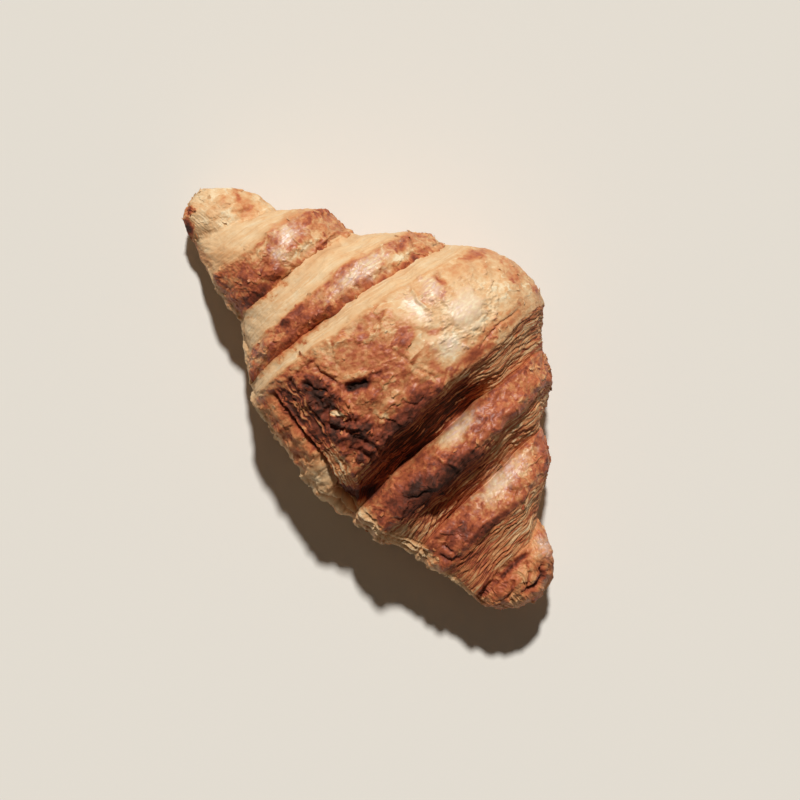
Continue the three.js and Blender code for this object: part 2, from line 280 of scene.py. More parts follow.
# The first row would be the left end itself, which the mesh closes with a fan.
rings, kinds = np.array(rings[1:]), np.array(kinds[1:])
places, wraps = np.array(places[1:]), np.array(wraps[1:])
row_count = len(rings)
row_index = np.arange(row_count, dtype=float)

# Rims are rounded over; the creases at the feet stay sharp.
is_foot = ((kinds == FACE) | (kinds == PLATEAU)) & (places < 0.06)
foot_near = blur(is_foot.astype(float)[:, None], 3, 0)[:, 0]
soften = np.clip(1.0 - 3.0 * foot_near, 0.0, 1.0)[:, None]
soften[:6] = 0.0
soften[-6:] = 0.0
for _ in range(24):
    middle = (rings[:-2] + 2 * rings[1:-1] + rings[2:]) / 4
    rings[1:-1] = mix(rings[1:-1], middle, soften[1:-1])

angles = np.concatenate([
    -math.pi / 2 + math.pi * np.arange(TOP_COLUMNS) / TOP_COLUMNS,
    math.pi / 2 + math.pi * np.arange(BELLY_COLUMNS) / BELLY_COLUMNS,
])
crest_column = TOP_COLUMNS // 2


def ring_points(rings, angles):
    """The points of each ring: superellipses above and below the level where the body is widest."""
    up, out = np.cos(angles)[None, :], np.sin(angles)[None, :]
    outer_x, outer_y, inner_x, inner_y, crest_x, crest_z, belly = np.split(rings, 7, axis=1)
    belly_x = (outer_x + inner_x) / 2
    mean_x = (crest_x + belly_x + outer_x + inner_x) / 4
    twist = (crest_x + belly_x - outer_x - inner_x) / 4
    lean = (crest_x - belly_x) / 2
    skew = (outer_x - inner_x) / 2
    power = 2.0 / np.where(up > 0, TOP_SQUARENESS, BELLY_SQUARENESS)
    inner_level = WIDEST_LEVEL
    for start, length, level in INNER_LEVELS:
        inner_level = mix(inner_level, level, rise(crest_x, start, length))
    level = mix(belly, crest_z, np.where(out < 0, inner_level, WIDEST_LEVEL))
    height = np.where(up > 0, crest_z - level, level - belly)
    x = mean_x + lean * up + skew * out + twist * np.cos(2 * angles)[None, :]
    y = (outer_y + inner_y) / 2 + (outer_y - inner_y) / 2 * np.sign(out) * np.abs(out) ** power
    z = level + height * np.sign(up) * np.abs(up) ** power
    return np.stack([x, y, z], axis=2)


def steps(points, axis):
    """The length walked along one axis of a grid of points."""
    gap = np.linalg.norm(np.diff(points, axis=axis), axis=2)
    return np.cumsum(np.insert(gap, 0, 0.0, axis=axis), axis=axis)


base = ring_points(rings, angles)
crease_near = np.where(kinds == FACE, 1.0 - places, 0.0)
crease_near += np.where(kinds == PLATEAU, np.exp(-places / 0.16), 0.0)
crease_near[np.arange(row_count) < row_count // 2] = 0.0
crease_near = blur(crease_near[:, None], 1, 0)
for wrap, outer_fill, inner_fill in CREASE_FILLS:
    beside = ((wraps == wrap) & (kinds == FACE)) | ((wraps == wrap + 1) & (kinds == PLATEAU))
    fill = outer_fill * rise(base[:, :, 1], 2.0, 17.0) + inner_fill * fall(base[:, :, 1], -18.0, 12.0)
    base[:, :, 2] += beside[:, None] * crease_near * rise(base[:, :, 2], 8.0, 14.0) * fill
# s and q are lengths in mm over the surface: s along the body, q round it from the crest.
s = steps(base, 0)
# The same length, counted anew from the first row of each face, plateau or tip.
starts_block = np.insert((np.diff(kinds) != 0) | (np.diff(wraps) != 0), 0, True)
block_start = np.maximum.accumulate(np.where(starts_block, np.arange(row_count), 0))
block_s = s - s[block_start]
s = s - s[row_count // 2][None, :]
q = steps(base, 1)
q = q - q[:, crest_column:crest_column + 1]

# The wraps' edges wander a little.
base[:, :, 0] += 0.9 * ripples(q / 15.0, s / 30.0, 41, 2) * rise(base[:, :, 2], 6.0, 12.0)

along = np.gradient(base, axis=0)
across = np.roll(base, -1, axis=1) - np.roll(base, 1, axis=1)
normals = np.cross(along, across)
normals /= np.linalg.norm(normals, axis=2, keepdims=True) + 1e-12
x, y, z = base[:, :, 0], base[:, :, 1], base[:, :, 2]
sx = 1.1 * x
# Where the camera sees each vertex, in mm on the plane that the camera's frame is measured on.
nearness = (CAMERA_HEIGHT - FOCUS_HEIGHT) / (CAMERA_HEIGHT - z)
seen_x = CAMERA_X + (x - CAMERA_X) * nearness
seen_y = CAMERA_Y + (y - CAMERA_Y) * nearness
exposed = rise(z, 2.0, 9.0)


def body_noise(size_s, size_q, seed, octaves=3, gain=0.5):
    """Noise over the surface. Its lumps' sizes are in mm, along the body and round it."""
    return ripples(sx / size_s, q / size_q, seed, octaves, gain)


def plan_noise(size_x, size_y, seed, octaves=3, gain=0.5):
    """Noise over the plan. Its lumps' sizes are in mm."""
    return ripples(x / size_x, y / size_y, seed, octaves, gain)


# ---- Regions, with ragged borders ----
ragged = 2.2 * ripples(q / 5.0, s / 5.0, 51, 3) + 1.6 * ripples(q / 1.6, s / 4.0, 55, 2)
ragged_rows = np.clip(row_index[:, None] + ragged, 0, row_count - 1)


def look(values, rows=ragged_rows):
    """A per-row value read at each vertex's wandering row."""
    return np.interp(rows.ravel(), row_index, values).reshape(rows.shape)


def ease_rows(values, half=2):
    return blur(np.asarray(values, float)[:, None], half, 0)[:, 0]


face = look(ease_rows(kinds == FACE))
plateau = look(ease_rows(kinds == PLATEAU))
centre = look(ease_rows(kinds == CENTRE))
tip = look(ease_rows(kinds == TIP))
left_tip = look(ease_rows((kinds == TIP) & (wraps < 0)))
right_tip = look(ease_rows((kinds == TIP) & (wraps > 0)))
left_face = look(ease_rows((kinds == FACE) & (row_index < row_count / 2)))
right_face = face - left_face
place = np.broadcast_to(places[:, None], x.shape)
wrap_id = np.broadcast_to(wraps[:, None], x.shape).astype(float)
foot_rows = ease_rows(is_foot, 4)
foot_rows = foot_rows / foot_rows.max()
foot = np.broadcast_to(foot_rows[:, None], x.shape)

spot_wander = np.clip(1.0 + 0.7 * plan_noise(3.0, 3.0, 61, 4, 0.7), 0.35, 4.0)
upper_side = rise(z, 5.0, 6.0)
line_wander_x = plan_noise(2.0, 2.0, 63, 1)
line_wander_y = ripple(x / 2.0 + 40, y / 2.0, 64)


def spot(cx, cy, rx, ry, turn=0.0, sharp=1.0):
    """1 in the middle of an oval on the upper side, fading to 0 round it."""
    a = math.radians(turn)
    u = ((seen_x - cx) * math.cos(a) + (seen_y - cy) * math.sin(a)) / rx
    v = (-(seen_x - cx) * math.sin(a) + (seen_y - cy) * math.cos(a)) / ry
    return np.exp(-((u * u + v * v) * spot_wander) ** sharp) * upper_side


def line_distance(points, wander=0.0):
    """Distance in plan from a line through points, and how far along it, from 0 to 1."""
    best = np.full(x.shape, 99.0)
    where = np.zeros(x.shape)
    lengths = [math.dist(a, b) for a, b in zip(points, points[1:])]
    total, done = sum(lengths), 0.0
    wx, wy = seen_x + wander * line_wander_x, seen_y + wander * line_wander_y
    for (ax, ay), (bx, by), length in zip(points, points[1:], lengths):
        t = np.clip(((wx - ax) * (bx - ax) + (wy - ay) * (by - ay)) / length ** 2, 0.0, 1.0)
        gap = np.hypot(wx - ax - t * (bx - ax), wy - ay - t * (by - ay))
        nearer = gap < best
        best = np.where(nearer, gap, best)
        where = np.where(nearer, (done + t * length) / total, where)
        done += length
    return best, where


def stroke(points, width, wander=0.5):
    """1 on a line, fading to 0 a width away and towards its ends."""
    gap, where = line_distance(points, wander)
    ends = smooth(where / 0.15) * fall(where, 1.0, 0.15)
    return hump(gap, width) * (0.35 + 0.65 * ends) * upper_side


# ---- Relief, in mm along the normal ----
def lifted_flakes(size_s, size_q, share, seed):
    """Sparse thin flakes, flush on one side and lifted on the other: height, free edge, tone."""
    wide = 1.6 * (size_s + size_q) / 2.0
    flake_x = sx / size_s + 0.45 * body_noise(wide, wide, seed + 20, 3, 0.6)
    flake_y = q / size_q + 0.45 * ripples(sx / wide + 50.0, q / wide, seed + 30, 3, 0.6)
    near, far, away_x, away_y, mark = cells(flake_x, flake_y, seed)
    turn = mark[1] * 2.0 * math.pi
    lift = np.clip(0.35 - away_x * np.cos(turn) - away_y * np.sin(turn), 0.0, 1.0)
    lift = np.where(mark[0] < share, lift, 0.0)
    free_edge = lift * np.exp(-((far - near) / 0.16) ** 2)
    return lift, free_edge, mark[2]


# Places that the photograph shows: centre, reach, turn and how sharp their borders are.
cream_blister = spot(-1.1, 23.7, 7.0, 8.0, 20, 2.4)
sheen_patch = spot(-11.6, 19.6, 4.4, 3.4, 0, 2.0)
sheen_ridge = spot(-30.2, 6.6, 2.0, 9.6, -6, 2.0)
burnt_area = spot(1.0, -25.5, 19.0, 6.5, 0, 2.0)
# Sheen spots, where the crust shows a silvery highlight: centre, reach and turn.
SHEEN_SPOTS = [
    (-53, -2.5, 3.2, 4.8, 0), (-50.3, -8.9, 3.2, 2.4, 0), (-30.4, 7.1, 2.7, 10.5, -6),
    (-11.6, 19.6, 4.4, 3.4, 0), (-11, 13, 5.5, 2.6, 0), (4.2, 13.7, 4, 4.2, 0),
    (-1.1, 23.7, 6, 7, 20), (25, 0.2, 2.6, 8, 0), (45, -0.5, 3.6, 10, 5),
    (68.5, -4, 3.4, 2.4, -20),
]
sheen = np.zeros(x.shape)
for oval in SHEEN_SPOTS:
    sheen = np.maximum(sheen, spot(*oval, 1.5))

crust = np.clip(plateau + centre + 0.6 * tip, 0, 1)
pale_top = centre * rise(y, 1.0, 6.0)
right_end = rise(x, 40.0, 8.0)
calm = (1.0 - 0.9 * cream_blister) * (1.0 - 0.55 * sheen) * (1.0 - 0.65 * pale_top)
large, large_edge, large_tone = lifted_flakes(4.6, 7.0, 0.42, 101)
small, small_edge, small_tone = lifted_flakes(2.0, 3.0, 0.34, 141)

BLISTER_SHARE, BLISTER_REACH = 0.55, 0.42
near, _, _, _, mark = cells(sx / 6.5 + 0.3, q / 8.0, 121)
blister = np.clip(1.0 - (near / BLISTER_REACH) ** 2, 0, 1) ** 1.4
blister = np.where(mark[0] > 1.0 - BLISTER_SHARE, blister, 0.0)
near, _, _, _, mark = cells(sx / 1.25 + 0.2 * body_noise(2, 2, 83, 1), q / 1.35, 161)
bubble_patches = smooth(0.30 + 1.1 * body_noise(7.0, 9.0, 84, 2))
bubble = np.clip(1.0 - (near / (0.30 + 0.25 * mark[0])) ** 2, 0, 1) * bubble_patches
wrinkle = folds(sx / 2.4 + 0.9 * body_noise(5, 5, 75, 1), q / 3.4 + 0.6 * body_noise(4, 4, 85, 1), 131, 3)
wrinkle_patches = smooth(0.45 + 0.9 * body_noise(9.0, 11.0, 76, 2))
streaks = folds(sx / 1.0 + 0.5 * body_noise(3, 3, 77, 1), q / 4.5 + 0.4 * body_noise(2, 3, 78, 1), 135, 2)
grain = body_noise(0.8, 1.0, 141, 2)

# Heights of each kind of roughness.
SWELL, LUMP, LARGE_FLAKE, SMALL_FLAKE, BLISTER = 0.45, 0.28, 0.62, 0.34, 0.75
BUBBLE, WRINKLE, STREAK, SHEEN_LINE, CRUST_SINK = 0.15, 0.36, 0.13, 0.16, 0.25
bubbly = (1.0 - 0.8 * cream_blister) * (1.0 - 0.6 * sheen) * (1.0 - 0.6 * pale_top)
streaked = (1.0 - 0.9 * cream_blister) * (1.0 - 0.6 * pale_top) * (1.0 - 0.7 * right_end)
sheen_lines = ripple(seen_x / 0.45 + 0.3 * plan_noise(2.0, 2.0, 137, 1), seen_y / 4.0, 138)
relief = SWELL * body_noise(8.0, 10.0, 3, 2)
relief += crust * LUMP * body_noise(3.2, 3.8, 4, 2) * calm
relief += crust * calm * (LARGE_FLAKE * large + SMALL_FLAKE * small)
relief += crust * calm * BLISTER * blister
relief += crust * bubbly * BUBBLE * bubble
relief += crust * calm * (1.0 - 0.65 * right_end) * WRINKLE * (wrinkle - 0.5) * (0.25 + wrinkle_patches)
relief += crust * streaked * STREAK * (streaks - 0.5) * (0.4 + 0.8 * sheen)
relief += SHEEN_LINE * np.maximum(sheen_patch, 0.7 * sheen_ridge) * sheen_lines
relief += (0.04 + 0.03 * crust * (1.0 - 0.6 * pale_top)) * grain
relief -= CRUST_SINK * crust

# Laminated cut faces: straw-like strands that run round the body, overlap and fade.
row_gap = np.gradient(s, axis=0)
fibre_height = np.zeros(x.shape)
fibre_bake = np.zeros(x.shape)
MIN_STRAND_COLUMNS = 4


def lay_fibres(rows, count, seed, width, height, tone, reach):
    """Lays strands over a band of rows. Where two cross, the higher one shows."""
    draw = np.random.default_rng(seed)
    first, last = rows
    span = last - first
    q_low, q_high = q[first:last].min(), q[first:last].max()
    upper_columns = np.arange(TOP_COLUMNS)
    for _ in range(count):
        half = draw.uniform(*reach) / 2
        middle_q = draw.uniform(q_low * 0.85, q_high * 0.85)
        start_row = first + span * draw.uniform(-0.02, 1.02)
        lean = draw.normal(0.0, 0.16) * span / 12.0
        bend = draw.normal(0.0, 0.5)
        phase = draw.uniform(0.0, 6.28)
        wide = draw.uniform(*width) / 2
        high = draw.uniform(*height)
        colour = draw.uniform(*tone)
        at_q = q[int(np.clip(start_row, first, last - 1)), :TOP_COLUMNS]
        columns = upper_columns[np.abs(at_q - middle_q) < half]
        if len(columns) < MIN_STRAND_COLUMNS:
            continue
        off = (at_q[columns] - middle_q) / half
        centre_row = start_row + lean * off * half / 3.0 + bend * np.sin(off * 2.5 + phase)
        low = max(first, int(centre_row.min()) - 5)
        top = min(last, int(centre_row.max()) + 6)
        if top <= low:
            continue
        block = (slice(low, top), slice(columns[0], columns[-1] + 1))
        gap = (np.arange(low, top)[:, None] - centre_row[None, :]) * row_gap[block]
        taper = np.clip((1.0 - np.abs(off)) * 3.0, 0.0, 1.0) ** 0.5
        round_off = np.sqrt(np.clip(1.0 - (gap / (wide * (0.4 + 0.6 * taper[None, :]))) ** 2, 0.0, 1.0))
        layer = high * round_off * taper[None, :]
        higher = layer > fibre_height[block]
        fibre_bake[block] = np.where(higher, colour, fibre_bake[block])
        fibre_height[block] = np.where(higher, layer, fibre_height[block])


step_rows = FACE_ROWS + PLATEAU_ROWS
left_face_starts = (TIP_ROWS, TIP_ROWS + step_rows, TIP_ROWS + 2 * step_rows)
middle_end = left_face_starts[2] + FACE_ROWS + CENTRE_ROWS
right_face_starts = (middle_end, middle_end + step_rows, middle_end + 2 * step_rows)
# Strands of each face: how many, seed, width, height, tone and length.
FACE_STRANDS = (
    (260, 300, (0.4, 1.1), (0.03, 0.13), (-0.04, 0.08), (4.0, 16.0)),
    (260, 301, (0.4, 1.1), (0.03, 0.13), (-0.04, 0.08), (4.0, 16.0)),
    (260, 302, (0.4, 1.1), (0.03, 0.13), (-0.04, 0.08), (4.0, 16.0)),
    (900, 310, (0.4, 1.0), (0.06, 0.26), (-0.10, 0.40), (3.0, 15.0)),
    (700, 311, (0.4, 1.1), (0.06, 0.30), (-0.10, 0.34), (3.0, 15.0)),
    (480, 312, (0.4, 1.3), (0.06, 0.28), (-0.10, 0.28), (3.0, 14.0)),
)
for start, strands in zip(left_face_starts + right_face_starts, FACE_STRANDS):
    lay_fibres((start - 1, start - 1 + FACE_ROWS), *strands)
coarse = ripple(place * 3.1 + 0.5 * ripple(q / 12.0, place, 155), q / 14.0 + wrap_id * 5.0, 156)
not_foot = 1.0 - 0.7 * foot
relief += face * not_foot * (fibre_height - 0.30 * right_face + (0.12 + 0.30 * right_face) * coarse)
# Each layer of dough ends in a flatter tread and a short steep drop to the next one.
LAYER_STEP, TREAD_SHARE, TREAD_HEIGHT = 1.8, 0.72, 0.58
layer_place = block_s / LAYER_STEP + 1.1 * ripples(q / 12.0, block_s / 7.0, 158, 2)
layer_place += 0.22 * ripple(q / 2.6, block_s / 1.6, 159)
layer_place -= np.floor(layer_place)
tread = np.minimum(layer_place / TREAD_SHARE, (1.0 - layer_place) / (1.0 - TREAD_SHARE))
tread_depth = np.clip(0.65 + 0.7 * ripples(q / 5.0, block_s / 2.5, 162, 2), 0.10, 1.2)
tread_depth *= smooth((y - rings[:, 3:4] - 2.0) / 3.0)
relief += right_face * not_foot * TREAD_HEIGHT * tread_depth * (tread - 0.5)
# The drops' mask, used below to darken them with painted shade.
drop_shade = rise(layer_place, 0.78, 0.10) * tread_depth
soft_lumps = ripples(s / 4.0, q / 5.0, 157, 3)
relief += left_face * 0.22 * soft_lumps

# The creases beside the left faces are nearly level with them, and only cut in low down.
left_side = fall(x, -8.0, 4.0)
relief += left_side * foot * rise(z, 20.0, 8.0) * (
    1.1 * rise(y, -14.0, 10.0) + 0.7 * rise(y, -5.0, 6.0) + 0.5 * fall(y, -14.0, 8.0)
)

# Along the inner edge, thin pale layers of dough lie one over another.
edge_d = y - rings[:, 3:4] + 0.5 * plan_noise(8.0, 8.0, 187, 2)
EDGE_WIDTH, EDGE_WIDTH_RIGHT, EDGE_LAYER_STEP = 2.2, 5.2, 1.5
edge_width = mix(EDGE_WIDTH, EDGE_WIDTH_RIGHT, rise(x, 10.0, 8.0))
edge_width = mix(edge_width, EDGE_WIDTH, rise(x, 44.0, 6.0))
pale_edge = smooth((edge_width - edge_d) / 2.0)
pale_edge *= rise(x, -66.0, 8.0) * fall(x, 72.0, 8.0) * (y < 0)
edge_place = edge_d / EDGE_LAYER_STEP + 0.5 * ripples(x / 14.0, edge_d / 6.0, 188, 2)
edge_place -= np.floor(edge_place)
edge_bench = np.minimum((1.0 - edge_place) / 0.8, edge_place / 0.2)
relief += pale_edge * (0.8 * (edge_bench - 0.5) + 0.15 * plan_noise(3.0, 1.2, 190, 2))

# Tips: fine lines that run towards the left end, and folds towards the right one.
tip_lines = folds(q / 1.1 + 0.4 * ripple(q / 4, s / 6, 176), s / 8.0, 171, 2)
relief += left_tip * (0.12 * tip_lines + 0.10 * ripple(q / 5.0, s / 9.0, 172))
fold_across = q / 2.6 + 0.9 * body_noise(5, 5, 174, 1)
right_folds = folds(fold_across, sx / 6.5 + 0.5 * body_noise(4, 4, 177, 1), 173, 3)
relief += right_tip * (0.95 * (right_folds - 0.55) + 0.25 * body_noise(3, 3, 175, 2))

# The outermost strip ends on the inner side in a laminated lip over the layer beneath it; the right part of
# the lip is the end of the rolled tongue. The lip's upper and lower outline, from left to right.
LIP_X = [-21, -19, -5.6, 3.5, 14, 18.5, 21.5, 24]
LIP_TOP = [-30, -29.6, -30.6, -32.2, -33.8, -35.2, -37.4, -39]
LIP_BOTTOM = [-35.5, -36.6, -37.3, -37.2, -39.6, -39.9, -38.4, -39]
lip_wander = 0.5 * ripples(x / 4.0, x * 0.0 + 0.5, 181, 3)
lip_top = np.interp(seen_x, LIP_X, LIP_TOP) + lip_wander
lip_bottom = np.interp(seen_x, LIP_X, LIP_BOTTOM) + 0.6 * lip_wander
LIP_START, LIP_END = -20.6, 23.5
in_lip = rise(seen_x, LIP_START, 2.4) * fall(seen_x, LIP_END, 2.0) * (y < 0)
below_top = lip_top - seen_y
below_bottom = lip_bottom - seen_y
layered = in_lip * smooth(below_top / 0.9) * smooth(-below_bottom / 0.5)
under_lip = in_lip * rise(below_bottom, -0.2, 0.6)
layer_level = below_top / np.maximum(lip_top - lip_bottom, 1.5)
layer_line = layer_level * 11.0 + 1.2 * plan_noise(5.0, 3.5, 182)
layer_ridge = ripples(layer_line, x / 7.0, 183, 2, 0.6)
tongue_side = rise(x, 0.5, 8.0)
relief += layered * (-0.7 - 0.4 * smooth(layer_level) + 0.28 * layer_ridge + 0.7 * tongue_side)
end_gap = 1.5 + 1.9 * tongue_side
relief -= under_lip * (0.9 + end_gap * hump(below_bottom, 1.6 + 0.9 * tongue_side))
relief += 0.45 * in_lip * hump(below_top + 0.7, 0.7)
under_rise = 0.9 * smooth(below_bottom / 3.2) * (1.0 + 0.9 * tongue_side)
relief += under_lip * (under_rise + 0.22 * plan_noise(4.0, 3.0, 184, 2))

# The hollow round the end of the tongue, sunk into the relief; its dark colour further down is painted
# shade.
END_HOLLOW_LINE = [(23.2, -31.5), (21.3, -36.0), (18.4, -39.8), (15.2, -41.6)]
END_HOLLOW_WIDTH, END_HOLLOW_DEPTH = 1.9, 1.2
end_hollow = stroke(END_HOLLOW_LINE, END_HOLLOW_WIDTH, 0.6)
relief -= END_HOLLOW_DEPTH * end_hollow

# The burnt, crumpled hollow above the lip, with its tear and its broken flap.
crumple = folds(x / 5.0 + 0.8 * plan_noise(6, 6, 191, 1), y / 3.6 + 0.8 * plan_noise(6, 6, 192, 1), 193, 4)
CRUMPLE_HEIGHT, FLAP_HEIGHT, UNDER_FLAP_DEPTH, TEAR_DEPTH, TEAR_TAIL_DEPTH = 2.1, 0.9, 1.2, 2.6, 0.4
relief += burnt_area * (CRUMPLE_HEIGHT * (crumple - 0.6)) * (1.0 - layered)
FLAP_LINE = [(-5.9, -24.6), (-3.6, -27.2), (-1.1, -28.6), (2.4, -26.6), (5.4, -23.4), (4.9, -20.1)]
UNDER_FLAP_LINE = [(-6.6, -26.0), (-4.0, -28.8), (-1.0, -30.4), (3.2, -28.0), (6.6, -24.2)]
TEAR_LINE = [(-6.0, -19.6), (-4.6, -16.2), (-3.2, -13.0)]
TEAR_TAIL_LINE = [(-3.4, -12.6), (-4.4, -10.4), (-3.4, -8.6)]
flap = spot(-1.2, -22.4, 4.6, 2.3, 0, 2.0)
flap_gap, _ = line_distance(FLAP_LINE, 0.4)
tear = stroke(TEAR_LINE, 1.35, 0.7)
tear_tail = stroke(TEAR_TAIL_LINE, 0.7, 0.7)
relief -= TEAR_DEPTH * tear + TEAR_TAIL_DEPTH * tear_tail
relief += FLAP_HEIGHT * flap * (1.0 - layered)
relief += FLAP_HEIGHT * hump(flap_gap, 0.7)
relief -= UNDER_FLAP_DEPTH * stroke(UNDER_FLAP_LINE, 0.9)
# Creases and ridges of the crust: the line, its width, and how deep it cuts, or how high it stands if
# negative. Further down the same depth darkens the creases with painted shade and pales the ridges with
# painted light.
CREASE_LINES = [
    ([(-17.7, -22.2), (-13, -21.6), (-8.6, -20.1)], 0.6, 0.9),
    ([(-15.6, -27.6), (-11.6, -26.4), (-8.6, -23.6)], 0.6, 1),
    ([(-19.2, -20.4), (-19.4, -27), (-19.1, -32.6)], 0.35, 0.7),
    ([(-7.4, -1), (-2.6, 0), (3.5, 1.4), (9.4, 4.2)], 0.45, 0.7),
    ([(-17, 5.6), (-15.4, 1.6), (-12.4, -1)], 0.5, 0.6),
    ([(-17.4, 16.2), (-12.5, 14.6), (-6.5, 15.6)], 0.5, -0.7),
    ([(-16, 24.8), (-12.8, 23.6)], 0.6, 0.9),
    ([(9.6, 36), (9, 28), (10.4, 20)], 0.4, 0.6),
    ([(-44.6, -3.2), (-44.9, 3.4), (-44.2, 9.4)], 0.40, -0.6),
    ([(-46, -19.4), (-50, -16.2), (-51.6, -11.4)], 0.5, 0.4),
    ([(27, -11.6), (30.4, -10.6), (33.6, -8)], 0.5, -0.7),
    ([(30.4, -27.2), (32.6, -24.4), (34.4, -19.4)], 0.6, 0.8),
    ([(48.6, -1), (50.6, 0.6), (52.4, -0.4)], 0.5, 0.7),
    ([(48, -24), (49.4, -27.6), (53.2, -26.2)], 0.5, 0.7),
    ([(50.4, -30.4), (53.8, -29), (55, -25.6)], 0.6, 0.8),
    ([(-66.2, -5.4), (-67.6, -9.4), (-70, -11.4)], 0.6, 0.4),
    ([(-67.6, -18.6), (-69.6, -22.2), (-70.2, -25.6)], 0.6, 0.2),
    ([(72.6, -7.4), (75.9, -10.1), (76.8, -14), (75.3, -18)], 0.65, 1.5),
    ([(69.3, -11.6), (72.6, -12.4), (75, -16.2)], 0.5, 0.9),
    ([(67.5, -8), (66.6, -14), (67.2, -19.2), (68.1, -24.6)], 0.7, 1.2),
    ([(70.5, -17.1), (72.9, -20.1), (73.8, -24)], 0.5, 0.8),
]
creases = [(stroke(line, width), depth) for line, width, depth in CREASE_LINES]
for mark_line, depth in creases:
    relief -= depth * mark_line
# The pale blister and the sheen patch stand proud.
relief += 1.2 * cream_blister + 0.4 * sheen_patch

# A small bulge of the outline, and two corners that are blunter than the rings make them.
OUTLINE_BUMPS = ((20.8, -44.0, 3.0, 1.6), (41.8, 19.8, 3.2, -0.7), (-41.8, 14.6, 3.2, -1.0))
for bump_x, bump_y, reach, height in OUTLINE_BUMPS:
    relief += height * np.exp(-((x - bump_x) / 2.6) ** 2 - ((y - bump_y) / reach) ** 2)

relief *= exposed * (1.0 - 0.75 * rise(foot, 0.55, 0.45) * (1.0 - left_side))
END_ROWS = 14.0
relief *= (smooth(row_index / END_ROWS) * smooth((row_count - 1 - row_index) / END_ROWS))[:, None]

points = base + normals * relief[:, :, None]
points[:, :, 2] = np.maximum(points[:, :, 2], 0.0)

# ---- Bake, gloss and painted shade in hollows at each vertex ----
# Painted shade: where the relief sits below its surroundings the colour is darkened, fully at HOLLOW_DEPTH
# mm down.
HOLLOW_DEPTH = 0.45
above_near = relief - blur(relief, 6, 6)
above_wide = relief - blur(relief, 22, 22)
hollow_shade = np.clip(-above_near / HOLLOW_DEPTH, 0.0, 1.0)

# How far a place is baked, from 0, raw cream, to 1, burnt black.
CREAM, PALE, GOLD, TAN, BROWN, RED, DARK, BURNT = 0.05, 0.16, 0.27, 0.38, 0.50, 0.62, 0.78, 0.95
bake = centre * (mix(GOLD, BROWN, fall(y, 12.0, 16.0)) + 0.14 * body_noise(6.0, 7.0, 201))
bake += plateau * (BROWN + 0.06 + 0.13 * body_noise(4.5, 7.0, 202))
bake += left_face * (PALE + 0.12 * rise(place, 0.75, 0.25) + 0.05 * soft_lumps)
bake += left_tip * (PALE + 0.07 * ripples(q / 3.0, sx / 7.0, 205, 2) - 0.10 * (tip_lines - 0.6))
bake += right_tip * (BROWN - 0.03 + 0.12 * ripples(q / 4.0, sx / 6.0, 206, 2))
# On the right faces the gaps between strands and the drops between layers get painted shade. Towards the
# outer side and the right end, where the light reaches, the strands are painted paler as painted light;
# between them and the inner side the dark strands get more painted shade.
fibre_gap = fall(fibre_height, 0.15, 0.15)
shaded = smooth((14.0 - y - 0.35 * (x - 20.0)) / 9.0) * rise(y, -32.0, 20.0)
shaded *= fall(place, 0.93, 0.25) * fall(x, 42.0, 16.0)
lit_end = smooth((y + 2.0 + 0.5 * (42.0 - x) * (x < 42.0)) / 10.0)
lit_end = np.maximum(lit_end, 0.7 * rise(x, 50.0, 8.0))
gap_shade = 0.26 - 0.14 * rise(x, 50.0, 8.0)
lit_bake = 0.15 - 0.02 * rise(x, 46.0, 8.0)
dark_fibre = rise(fibre_bake, -0.12, 0.08)
strand_bake = TAN + fibre_bake + gap_shade * fibre_gap + 0.36 * shaded * dark_fibre + 0.15 * drop_shade
bake += right_face * (strand_bake - lit_bake * lit_end)
bake += left_face * (fibre_bake - 0.02)
